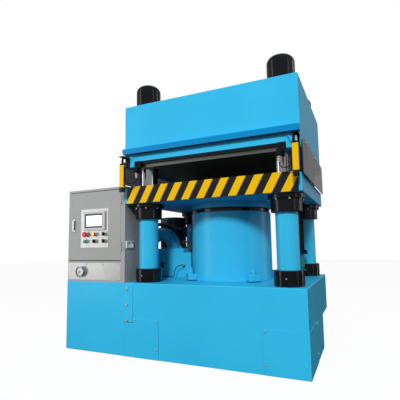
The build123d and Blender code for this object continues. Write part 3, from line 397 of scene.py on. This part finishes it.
def pull(x, y, z):
    """Extrudes the selected faces by a move in millimetres."""
    bpy.ops.mesh.extrude_region_move(
        TRANSFORM_OT_translate={"value": (x * MM, y * MM, z * MM)})


def close():
    bpy.ops.object.mode_set(mode="OBJECT")


def soften(piece, width, segments=2):
    """Rounds the sharp edges and shades the rest smooth."""
    deselect()
    piece.select_set(True)
    bpy.context.view_layer.objects.active = piece
    edge = piece.modifiers.new("Edge", "BEVEL")
    edge.width = width * MM
    edge.segments = segments
    edge.limit_method = "ANGLE"
    edge.angle_limit = radians(40)
    bpy.ops.object.modifier_apply(modifier=edge.name)
    bpy.ops.object.shade_smooth_by_angle(angle=radians(38))
    return piece


def join(name, pieces):
    """Joins pieces into one."""
    deselect()
    for piece in pieces:
        piece.select_set(True)
    bpy.context.view_layer.objects.active = pieces[0]
    if len(pieces) > 1:
        bpy.ops.object.join()
    pieces[0].name = pieces[0].data.name = name
    return pieces[0]


def repeat(name, piece, moves):
    """Copies a finished piece to each place, each copy with its own mesh, and joins them."""
    copies = []
    for move in moves:
        copy = piece.copy()
        copy.data = piece.data.copy()
        copy.data.transform(move)
        bpy.context.scene.collection.objects.link(copy)
        copies.append(copy)
    bpy.data.objects.remove(piece)
    return join(name, copies)


def shift(x, y, z):
    return Matrix.Translation(Vector((x, y, z)) * MM)


def upside_down():
    return Matrix.Rotation(pi, 4, "X")


def screw_circle(x, y, z, radius, start=0):
    """Eight places on a circle about a point, from a start angle in degrees, heads down."""
    angles = [radians(start + 45 * turn) for turn in range(8)]
    return [shift(x + radius * cos(angle), y + radius * sin(angle), z) @ upside_down()
            for angle in angles]


def mount(piece, material, body):
    """Finishes a piece and lets it move with its body."""
    piece.data.materials.clear()
    piece.data.materials.append(material)
    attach(piece, body)
    return piece


def socket_screw(name, head, height):
    """Cap screw standing on the origin with its hexagon socket up."""
    screw = bar(name, (0, 0, height / 2), head / 2, height)
    open_faces(screw, lambda at, normal: normal.z > 0.9)
    inset(head * 0.2)
    pull(0, 0, -height * 0.5)
    close()
    return soften(screw, head * 0.06)


def pan_screw(name, head):
    """Pan head screw with a cross recess, its axis along -y, standing on the origin."""
    screw = bar(name, (0, -head * 0.15, 0), head / 2, head * 0.3, along="y", sides=20)
    open_faces(screw, lambda at, normal: normal.y < -0.9)
    inset(head * 0.12)
    bpy.ops.transform.translate(value=(0, -head * 0.08 * MM, 0))
    inset(head * 0.2)
    pull(0, head * 0.2, 0)
    close()
    return soften(screw, head * 0.04)


# Operators, one for each group of like pieces

class PRESS_OT_frame(bpy.types.Operator):
    """Paints the frame, tanks, crown and band, and finishes the black and the plated parts"""
    bl_idname = "press.frame"
    bl_label = "Frame"

    def execute(self, context):
        colours = context.scene.press_colours
        body = sprayed_enamel("gloss_blue_enamel", colours.body[:])
        coat_nodes(body, "base_frame", "corner_cover_front_left", "corner_cover_front_right",
                   "oil_tank", "main_cylinder", "ram", "moving_platen", "column_sleeves",
                   "crown_beam", "filling_tank", "filling_lid", "elbow_pipe", "cylinder_clamps")
        # The band's darker blue is painted shade of its downward facing front
        coat_nodes(sprayed_enamel("band_enamel_with_painted_shade", colours.band[:]), "front_band")
        zinc = worked_metal("zinc_plated_steel", linear("#C6C9CB"), 0.34, bare=0.6)
        coat_nodes(zinc, "cover_screws", "guard_bolts", "table_sensors")
        black = sprayed_enamel("gloss_black_enamel", colours.black[:], roughness=0.16, coat=0,
                               gloss=0.45)
        coat_nodes(black, "base_collars", "cap_nuts", "foot_nuts", "gland_ring", "guide_bushes",
                   "curtain_brackets", "sensor_brackets", "striker_bar")
        return {"FINISHED"}


class PRESS_OT_columns(bpy.types.Operator):
    """Grinds the columns and adds the flange screws and the set screws of the collars"""
    bl_idname = "press.columns"
    bl_label = "Columns"

    def execute(self, context):
        chrome = worked_metal("ground_hard_chrome", linear("#DADCE0"), 0.12, lay=(0.2, 0.2, 1),
                              pitch=2.5, depth=0.05, spread=0.05)
        coat_nodes(chrome, "column_rods")
        zinc = bpy.data.materials["zinc_plated_steel"]
        head = context.scene.press_sizes.flange_screw / MM
        screw = socket_screw("flange_screw", head, 8)
        flange_underside, circle_radius = 1049.5, 106.5
        places = [place for x, y in COLUMNS
                  for place in screw_circle(x, y, flange_underside, circle_radius, start=22)]
        mount(repeat("bush_flange_screws", screw, places), zinc, "moving_table")
        pin = socket_screw("collar_set_screw", 11.6, 12)
        pin_reach, pin_height = 80.5, 560
        places = []
        for x, y in COLUMNS:
            for side in (-1, 1):
                turn = Matrix.Rotation(-side * pi / 2, 4, "X")
                places.append(shift(x, y + side * pin_reach, pin_height) @ turn)
        mount(repeat("collar_set_screws", pin, places), zinc, "press_frame")
        return {"FINISHED"}


class PRESS_OT_table(bpy.types.Operator):
    """Finishes the table's plate, its striped board and the limit switch"""
    bl_idname = "press.table"
    bl_label = "Table"

    def execute(self, context):
        colours = context.scene.press_colours
        coat_nodes(worked_metal("ground_tool_steel", linear("#9C9E9F"), 0.32, lay=(0.05, 1, 1)),
                   "work_plate")
        coat_nodes(sprayed_enamel("black_board_enamel", linear("#1E1E21"), roughness=0.4,
                                  coat=0, gloss=0.25), "hazard_board")
        coat_nodes(sprayed_enamel("yellow_stripe_enamel", colours.hazard[:], roughness=0.4,
                                  coat=0, gloss=0.2), "hazard_stripes")
        coat_nodes(moulded_plastic("green_switch_nylon", linear("#127F6A"), 0.4),
                   "limit_switch")
        coat_nodes(worked_metal("ground_plunger_steel", linear("#C4C6C8"), 0.22),
                   "switch_plunger")
        return {"FINISHED"}


class PRESS_OT_platens(bpy.types.Operator):
    """Finishes the heated plate and its board"""
    bl_idname = "press.platens"
    bl_label = "Heated plate"

    def execute(self, context):
        coat_nodes(worked_metal("milled_heating_alloy", linear("#A4A9A2"), 0.42,
                                lay=(0.05, 1, 1), pitch=3), "heating_plate")
        coat_nodes(fibre_board("glass_fibre_board"), "insulation_plate")
        return {"FINISHED"}


class PRESS_OT_guards(bpy.types.Operator):
    """Finishes the smoked guard panels"""
    bl_idname = "press.guards"
    bl_label = "Guards"

    def execute(self, context):
        smoke = smoked_polycarbonate("smoked_polycarbonate",
                                     context.scene.press_colours.guard[:])
        coat_nodes(smoke, "side_guard_left", "side_guard_right", "rear_guard")
        return {"FINISHED"}


class PRESS_OT_light_curtains(bpy.types.Operator):
    """Finishes the light curtains and adds their end caps, windows and connectors"""
    bl_idname = "press.light_curtains"
    bl_label = "Light curtains"

    def execute(self, context):
        colours = context.scene.press_colours
        coat_nodes(sprayed_enamel("yellow_curtain_enamel", colours.hazard[:], roughness=0.4,
                                  coat=0, gloss=0.2), "light_curtains")
        black = moulded_plastic("black_cap_nylon", linear("#131316"), 0.38)
        window = moulded_plastic("dark_red_acrylic", linear("#3A1712"), 0.12, depth=0.02)
        zinc = bpy.data.materials["zinc_plated_steel"]
        plug_y = -584
        caps, windows, plugs = [], [], []
        # Each housing's middle, and the way its window looks
        for x, inward in ((-614, 1), (618.5, -1)):
            foot = block("curtain_foot", (x - 18.4, -597.4, 1160), (x + 18.4, -570.6, 1193))
            open_faces(foot, lambda at, normal: normal.z < -0.9)
            inset(2.5)
            pull(0, 0, -1.5)
            close()
            top = block("curtain_head", (x - 17, -596, 1353), (x + 17, -572, 1363))
            open_faces(top, lambda at, normal: normal.z > 0.9)
            inset(2)
            pull(0, 0, 2)
            close()
            caps += [soften(foot, 1.6), soften(top, 1.4)]
            face = x + inward * 18
            lens = block("curtain_window", (face - 1, -594, 1200), (face + 1, -574, 1346))
            open_faces(lens, lambda at, normal: normal.x * inward > 0.9)
            inset(2)
            pull(-inward * 0.6, 0, 0)
            close()
            windows.append(soften(lens, 0.3, 1))
            plug_x = x - inward * 6
            plug = bar("curtain_plug", (plug_x, plug_y, 1378), 6.5, 30)
            open_faces(plug, lambda at, normal: normal.z > 0.9)
            inset(1.5)
            pull(0, 0, 5)
            close()
            nut = bar("curtain_plug_nut", (plug_x, plug_y, 1371), 8.5, 10, sides=18)
            plugs += [soften(plug, 0.8), soften(nut, 0.8, 1)]
        mount(join("curtain_caps", caps), black, "press_frame")
        mount(join("curtain_windows", windows), window, "press_frame")
        mount(join("curtain_plugs", plugs), zinc, "press_frame")
        return {"FINISHED"}


class PRESS_OT_sensors(bpy.types.Operator):
    """Adds the lock nuts and lamp rings of the proximity sensors, and finishes the leads"""
    bl_idname = "press.sensors"
    bl_label = "Sensors"

    def execute(self, context):
        coat_nodes(moulded_plastic("black_lead_sheath", linear("#101013"), 0.45),
                   "sensor_leads")
        zinc = bpy.data.materials["zinc_plated_steel"]
        nut = bar("sensor_nut", (0, 0, 1292), 13.5, 6, sides=6)
        open_faces(nut, lambda at, normal: normal.z < -0.9)
        inset(1.2)
        bpy.ops.transform.translate(value=(0, 0, -1 * MM))
        close()
        soften(nut, 0.5)
        places = [shift(x, -551, 0) for x in (-516, 516)]
        mount(repeat("sensor_nuts", nut, places), zinc, "press_frame")
        ring = bar("sensor_lamp", (0, 0, 1285.5), 9.6, 4, sides=28)
        open_faces(ring, lambda at, normal: abs(normal.z) > 0.9)
        inset(0.8)
        close()
        soften(ring, 0.5)
        red = moulded_plastic("red_lamp_ring", linear("#C8202B"), 0.2, light=0.3)
        mount(repeat("sensor_lamps", ring, places), red, "press_frame")
        return {"FINISHED"}


class PRESS_OT_filling_tank(bpy.types.Operator):
    """Adds the lid screws, sight glass and sensor plug of the filling tank"""
    bl_idname = "press.filling_tank"
    bl_label = "Filling tank"

    def execute(self, context):
        body = bpy.data.materials["gloss_blue_enamel"]
        lid_top = 746
        screw = socket_screw("lid_screw", 22, 16)
        places = [shift(x, y, lid_top) for x in (-623, -454) for y in (2, 104)]
        mount(repeat("lid_screws", screw, places), body, "press_frame")
        frame_plate = block("sight_frame", (-633, -26, 590), (-604, -21, 634))
        open_faces(frame_plate, lambda at, normal: normal.y < -0.9)
        inset(5)
        pull(0, 3, 0)
        close()
        soften(frame_plate, 1)
        black = bpy.data.materials["black_cap_nylon"]
        mount(frame_plate, black, "press_frame")
        glass = block("sight_glass", (-628, -24.6, 595), (-609, -22.5, 629))
        open_faces(glass, lambda at, normal: normal.y < -0.9)
        inset(1)
        pull(0, -0.4, 0)
        close()
        oil = moulded_plastic("oil_sight_acrylic", linear("#5A3048"), 0.08, depth=0.01)
        mount(soften(glass, 0.3), oil, "press_frame")
        plug = bar("tank_sensor_plug", (-408, -45, 614), 11, 16, along="y")
        open_faces(plug, lambda at, normal: normal.y < -0.9)
        inset(3)
        pull(0, -5, 0)
        close()
        zinc = bpy.data.materials["zinc_plated_steel"]
        mount(soften(plug, 0.8), zinc, "press_frame")
        return {"FINISHED"}


class PRESS_OT_pump(bpy.types.Operator):
    """Finishes the pump set and adds the motor's terminal box and flange screws"""
    bl_idname = "press.pump"
    bl_label = "Pump"

    def execute(self, context):
        colours = context.scene.press_colours
        paint = sprayed_enamel("satin_motor_enamel", colours.motor[:], roughness=0.3, coat=0.3)
        coat_nodes(paint, "pump_motor")
        iron = sprayed_enamel("black_cast_iron_enamel", linear("#0D0E13"), roughness=0.32)
        coat_nodes(iron, "pump_housing")
        zinc = bpy.data.materials["zinc_plated_steel"]
        box = block("terminal_box", (-640, 372, 850), (-592, 454, 950))
        open_faces(box, lambda at, normal: normal.x > 0.9)
        inset(4)
        pull(5, 0, 0)
        inset(6)
        pull(3, 0, 0)
        close()
        mount(soften(box, 2), paint, "press_frame")
        screw = socket_screw("motor_flange_screw", 16, 12)
        shaft_x, shaft_y, flange_underside, circle_radius = -752, 413, 729, 104
        places = screw_circle(shaft_x, shaft_y, flange_underside, circle_radius)
        mount(repeat("motor_flange_screws", screw, places), zinc, "press_frame")
        return {"FINISHED"}


class PRESS_OT_hose(bpy.types.Operator):
    """Finishes the hose and its fittings and adds the crimped ferrules"""
    bl_idname = "press.hose"
    bl_label = "Hose"

    def execute(self, context):
        coat_nodes(ribbed_rubber("nitrile_hose_cover", linear("#121215")), "pressure_hose")
        coat_nodes(worked_metal("yellow_passivated_steel", linear("#B7A777"), 0.3),
                   "hose_fittings")
        zinc = bpy.data.materials["zinc_plated_steel"]
        ferrules = []
        for centre, along in (((-366, 0, 905), "x"), ((-980, 93, 604), "z")):
            ferrule = bar("hose_ferrule", centre, 17.5, 38, along=along, sides=28)
            across = "xyz".index(along)
            open_faces(ferrule, lambda at, normal: abs(normal[across]) > 0.9)
            inset(2)
            close()
            ferrules.append(soften(ferrule, 1.2))
        mount(join("hose_ferrules", ferrules), zinc, "press_frame")
        return {"FINISHED"}


class PRESS_OT_cabinet(bpy.types.Operator):
    """Finishes the cabinet and adds the plate screws, the side socket, and dark strips above and
    below the door that are painted shade of its gaps
    """
    bl_idname = "press.cabinet"
    bl_label = "Cabinet"

    def execute(self, context):
        grey = powder_coat("grey_polyester_powder", context.scene.press_colours.cabinet[:])
        coat_nodes(grey, "cabinet_shell", "cabinet_door", "door_hinges")
        coat_nodes(worked_metal("spangled_galvanised_sheet", linear("#A9ACAC"), 0.4, pitch=12,
                                depth=0.3), "mounting_plate")
        brushed = worked_metal("brushed_stainless", linear("#CDCDCB"), 0.33, lay=(1, 1, 0.02),
                               pitch=1.6, depth=0.25, spread=0.12, bare=0.85)
        coat_nodes(brushed, "panel_plate", "lower_plate")
        satin = worked_metal("satin_chrome", linear("#C9CBCE"), 0.2)
        coat_nodes(satin, "handle_plate", "door_handle")
        zinc = bpy.data.materials["zinc_plated_steel"]
        plate_front = -519
        head = context.scene.press_sizes.panel_screw / MM
        screw = pan_screw("lower_plate_screw", head)
        places = [shift(x, plate_front, z) for x in (-1002, -835) for z in (640, 529)]
        mount(repeat("lower_plate_screws", screw, places), zinc, "press_frame")
        socket = block("side_socket", (-641, -505, 757), (-634, -418, 810))
        open_faces(socket, lambda at, normal: normal.x > 0.9)
        inset(2.5)
        pull(2, 0, 0)
        inset(3)
        pull(-1, 0, 0)
        close()
        ivory = moulded_plastic("ivory_urea_plastic", linear("#DADCDA"), 0.35)
        mount(soften(socket, 1.2), ivory, "press_frame")
        black = bpy.data.materials["black_cap_nylon"]
        red = moulded_plastic("dark_red_lens", linear("#6A2226"), 0.15)
        for name, y, z, radius, material, slot in (
                ("side_socket_hole", -434, 799, 6, black, "black_knob"),
                ("side_socket_lamp", -472, 795, 5, red, "red_button")):
            button = bar(name, (-632.5, y, z), radius, 4, along="x")
            open_faces(button, lambda at, normal: normal.x > 0.9)
            inset(radius * 0.2)
            pull(-0.8, 0, 0)
            close()
            mount(soften(button, 0.4), material, "press_frame")
        # Painted shade: dark strips along the door's top and bottom stand for the shade in the
        # gaps there and the shadow under the door
        strips = []
        for low, high in (((-1168, -519.3, 1194.3), (-675, -517, 1199)),
                          ((-1168, -519.3, 666), (-675, -517, 670.7))):
            strip = block("door_gap_shade", low, high)
            open_faces(strip, lambda at, normal: normal.y < -0.9)
            inset(0.7)
            pull(0, 0.6, 0)
            close()
            strips.append(soften(strip, 0.3, 1))
        gap_shade = moulded_plastic("door_gap_shade_black", linear("#1A1A1C"), 0.6)
        mount(join("door_gap_shade", strips), gap_shade, "press_frame")
        return {"FINISHED"}


class PRESS_OT_operator_panel(bpy.types.Operator):
    """Finishes the operators and adds the lamp's lens and the screen's border and picture"""
    bl_idname = "press.operator_panel"
    bl_label = "Operator panel"

    def execute(self, context):
        coat_nodes(moulded_plastic("silver_painted_abs", linear("#B4B5B7"), 0.35),
                   "touchscreen")
        coat_nodes(worked_metal("satin_chrome_bezel", linear("#E6E7E9"), 0.3, bare=0.8),
                   "operator_bezels")
        coat_nodes(moulded_plastic("red_moulded_abs", linear("#D3232B"), 0.22), "estop_button",
                   "lit_button")
        lens = bar("lamp_lens", (-911, -548.4, 866), 10.5, 1.6, along="y", sides=36)
        open_faces(lens, lambda at, normal: normal.y < -0.9)
        inset(2.5)
        bpy.ops.transform.translate(value=(0, -0.9 * MM, 0))
        close()
        amber = moulded_plastic("amber_lens_acrylic", linear("#FFC21C"), 0.15, light=0.8)
        mount(soften(lens, 0.3), amber, "lit_button")
        coat_nodes(moulded_plastic("green_moulded_abs", linear("#0B8A78"), 0.22),
                   "green_button")
        coat_nodes(moulded_plastic("black_moulded_abs", linear("#101012"), 0.28), "selector_1",
                   "selector_2", "selector_3")
        glass = block("screen_border", (-1005.8, -533.2, 915), (-837.2, -532.4, 1023))
        open_faces(glass, lambda at, normal: normal.y < -0.9)
        inset(3)
        pull(0, -0.2, 0)
        close()
        border = moulded_plastic("black_screen_glass", linear("#1A1A1D"), 0.12, depth=0.01)
        mount(soften(glass, 0.2, 1), border, "door")
        picture = block("screen_picture", (-989.8, -533.6, 928.7), (-843.3, -533.1, 1007.6))
        open_faces(picture, lambda at, normal: normal.y < -0.9)
        inset(1)
        close()
        lit = moulded_plastic("lit_screen_glass", linear("#F7FAFC"), 0.15, depth=0.01,
                              light=0.9)
        mount(soften(picture, 0.1, 1), lit, "door")
        return {"FINISHED"}


class PRESS_OT_gauge(bpy.types.Operator):
    """Finishes the pressure gauge and adds a black ring round its dial that is painted shadow of
    the bezel, and its dial, ticks and glass
    """
    bl_idname = "press.gauge"
    bl_label = "Gauge"

    def execute(self, context):
        coat_nodes(worked_metal("polished_gauge_chrome", linear("#D2D4D7"), 0.14),
                   "pressure_gauge")
        coat_nodes(moulded_plastic("black_pointer_enamel", linear("#0C0C0D"), 0.4),
                   "gauge_pointer")
        black = bpy.data.materials["black_cap_nylon"]
        # Painted shadow: a black ring round the dial stands for the shadow that the bezel casts
        # on it
        dial_shadow_ring = bar("gauge_dial_shadow_ring", (GAUGE_X, -535.2, GAUGE_Z), 35.8, 0.9, along="y", sides=48)
        open_faces(dial_shadow_ring, lambda at, normal: normal.y < -0.9)
        inset(5)
        pull(0, 0.3, 0)
        close()
        mount(soften(dial_shadow_ring, 0.1, 1), black, "press_frame")
        dial = bar("gauge_dial", (GAUGE_X, -535.4, GAUGE_Z), 30.4, 0.9, along="y", sides=48)
        open_faces(dial, lambda at, normal: normal.y < -0.9)
        inset(1.5)
        close()
        white = moulded_plastic("white_dial_enamel", linear("#C4C8C8"), 0.4)
        mount(soften(dial, 0.1, 1), white, "press_frame")
        tick = block("gauge_tick", (-0.7, -536.1, 22), (0.7, -535.6, 29))
        open_faces(tick, lambda at, normal: normal.z < -0.9)
        bpy.ops.transform.resize(value=(0.6, 1, 1), center_override=(0, -0.5358, 0.022))
        close()
        # Eleven ticks over the pointer's 270 degrees
        places = [shift(GAUGE_X, 0, GAUGE_Z) @ Matrix.Rotation(radians(turn), 4, "Y")
                  for turn in range(-135, 136, 27)]
        mount(repeat("gauge_ticks", tick, places), bpy.data.materials["black_pointer_enamel"],
              "press_frame")
        cover = bar("gauge_glass", (GAUGE_X, -543, GAUGE_Z), 35.9, 1.2, along="y", sides=48)
        open_faces(cover, lambda at, normal: normal.y < -0.9)
        inset(2)
        pull(0, -0.3, 0)
        close()
        mount(soften(cover, 0.2, 1), clear_glass("flat_gauge_glass"),
              "press_frame")
        return {"FINISHED"}


class PRESS_OT_stage(bpy.types.Operator):
    """Adds the floor, the softboxes, the world and the camera"""
    bl_idname = "press.stage"
    bl_label = "Stage"

    def execute(self, context):
        scene = context.scene
        sizes = scene.press_sizes
        deselect()
        bpy.ops.mesh.primitive_plane_add(size=30, location=(0, 0, 0))
        floor = settle("studio_floor")
        floor.data.materials.append(self.floor_material())
        # Name, place, aim, width and height in metres, power, and whether metal mirrors it
        lamps = (
            ("key_softbox", (3.0, -14.0, 9.0), (0, -0.3, 1.0), 2.4, 2.4, sizes.key_lamp, False),
            ("cabinet_card", (-2.9, -2.8, 0.9), (-0.9, -0.5, 0.8), 0.4, 2.2, sizes.card_lamp,
             True),
            ("left_strip", (-4.3, -3.1, 2.4), (0, -0.2, 1.6), 0.5, 5.0, sizes.side_lamp, True),
            ("right_strip", (4.3, 2.5, 2.4), (0, 0, 1.6), 0.4, 5.0, sizes.side_lamp, True),
            ("front_strip", (5.0, -1.6, 2.4), (0, -0.3, 1.2), 0.3, 5.0, sizes.front_lamp, True))
        for name, place, aim, width, height, power, mirrored in lamps:
            bpy.ops.object.light_add(type="AREA", location=place)
            lamp = context.object
            lamp.name = lamp.data.name = name
            lamp.data.shape = "RECTANGLE"
            lamp.data.size = width
            lamp.data.size_y = height
            lamp.data.energy = power
            lamp.visible_glossy = mirrored
            away = Vector(place) - Vector(aim)
            lamp.rotation_euler = away.to_track_quat("Z", "Y").to_euler()
        self.light_world(scene)
        self.place_camera(scene)
        scene.view_settings.view_transform = "Standard"
        return {"FINISHED"}

    def floor_material(self):
        """Sealed concrete painted white: pale and matt, shown to the camera as white with a
        soft shadow, and darker to the machine so that it throws little light up."""
        material, tree, place = start_material("white_sealed_concrete")
        trowel = add_node(tree, "ShaderNodeTexNoise", {
            "Vector": place, "Scale": every(600), "Detail": 4})
        paint = add_node(tree, "ShaderNodeBsdfDiffuse", {
            "Color": shades(tree, trowel.outputs["Fac"], linear("#F4F4F4"), linear("#FAFAFA"))})
        bounce = add_node(tree, "ShaderNodeBsdfDiffuse", {
            "Color": shades(tree, trowel.outputs["Fac"], linear("#505050"), linear("#585858"))})
        seen = add_node(tree, "ShaderNodeEmission", {"Color": (1, 1, 1, 1), "Strength": 1.0})
        whiteness = 0.91
        dimmed = add_node(tree, "ShaderNodeMixShader", {
            0: whiteness, 1: paint.outputs[0], 2: seen.outputs[0]})
        ray = add_node(tree, "ShaderNodeLightPath")
        shown = add_node(tree, "ShaderNodeMixShader", {
            0: ray.outputs["Is Camera Ray"], 1: bounce.outputs[0], 2: dimmed.outputs[0]})
        add_node(tree, "ShaderNodeOutputMaterial", {"Surface": shown.outputs[0]})
        return material

    def light_world(self, scene):
        """A plain grey surround that the camera sees as white, also through smoked sheets."""
        world = bpy.data.worlds.new("studio_surround")
        world.use_nodes = True
        tree = world.node_tree
        tree.nodes.clear()
        ray = add_node(tree, "ShaderNodeLightPath")
        seen = add_node(tree, "ShaderNodeMath", {
            0: ray.outputs["Is Camera Ray"], 1: ray.outputs["Is Transmission Ray"]},
            operation="MAXIMUM")
        on_matt, on_gloss = 0.42, 0.3
        lit = ramp(tree, ray.outputs["Is Glossy Ray"], 0, 1, on_matt, on_gloss)
        strength = add_node(tree, "ShaderNodeMath", {0: seen.outputs[0], 1: lit},
                            operation="MAXIMUM")
        surround = add_node(tree, "ShaderNodeBackground", {
            "Color": (1, 1, 1, 1), "Strength": strength.outputs[0]})
        add_node(tree, "ShaderNodeOutputWorld", {"Surface": surround.outputs[0]})
        scene.world = world

    def place_camera(self, scene):
        """Adds the camera that the fitted place and directions give."""
        data = bpy.data.cameras.new("photo_camera")
        camera = bpy.data.objects.new("photo_camera", data)
        scene.collection.objects.link(camera)
        data.sensor_width = 36
        data.lens = 31.73
        data.shift_x = -0.0105
        data.shift_y = 0.022
        data.clip_end = 100
        forward = Vector(CAMERA_FORWARD).normalized()
        side = forward.cross(Vector(CAMERA_UP)).normalized()
        turn = Matrix((side, side.cross(forward), -forward)).transposed()
        camera.matrix_world = Matrix.Translation(CAMERA_PLACE) @ turn.to_4x4()
        scene.camera = camera


class PRESS_PT_panel(bpy.types.Panel):
    """Lists the steps that dress the press"""
    bl_idname = "PRESS_PT_panel"
    bl_label = "Die cutting press"
    bl_space_type = "VIEW_3D"
    bl_region_type = "UI"
    bl_category = "Press"

    def draw(self, context):
        for group in (context.scene.press_colours, context.scene.press_sizes):
            box = self.layout.box()
            for name in group.__annotations__:
                box.prop(group, name)
        for step in STEPS:
            self.layout.operator(step.bl_idname)


STEPS = (
    PRESS_OT_frame, PRESS_OT_columns, PRESS_OT_table, PRESS_OT_platens, PRESS_OT_guards,
    PRESS_OT_light_curtains, PRESS_OT_sensors, PRESS_OT_filling_tank, PRESS_OT_pump,
    PRESS_OT_hose, PRESS_OT_cabinet, PRESS_OT_operator_panel, PRESS_OT_gauge, PRESS_OT_stage,
)
CLASSES = (PressColours, PressSizes, *STEPS, PRESS_PT_panel)


def register():
    for made in CLASSES:
        bpy.utils.register_class(made)
    bpy.types.Scene.press_colours = PointerProperty(type=PressColours)
    bpy.types.Scene.press_sizes = PointerProperty(type=PressSizes)


def unregister():
    del bpy.types.Scene.press_sizes
    del bpy.types.Scene.press_colours
    for made in reversed(CLASSES):
        bpy.utils.unregister_class(made)


def main():
    register()
    bpy.ops.press.frame()
    bpy.ops.press.columns()
    bpy.ops.press.table()
    bpy.ops.press.platens()
    bpy.ops.press.guards()
    bpy.ops.press.light_curtains()
    bpy.ops.press.sensors()
    bpy.ops.press.filling_tank()
    bpy.ops.press.pump()
    bpy.ops.press.hose()
    bpy.ops.press.cabinet()
    bpy.ops.press.operator_panel()
    bpy.ops.press.gauge()
    bpy.ops.press.stage()


if __name__ == "__main__":
    main()
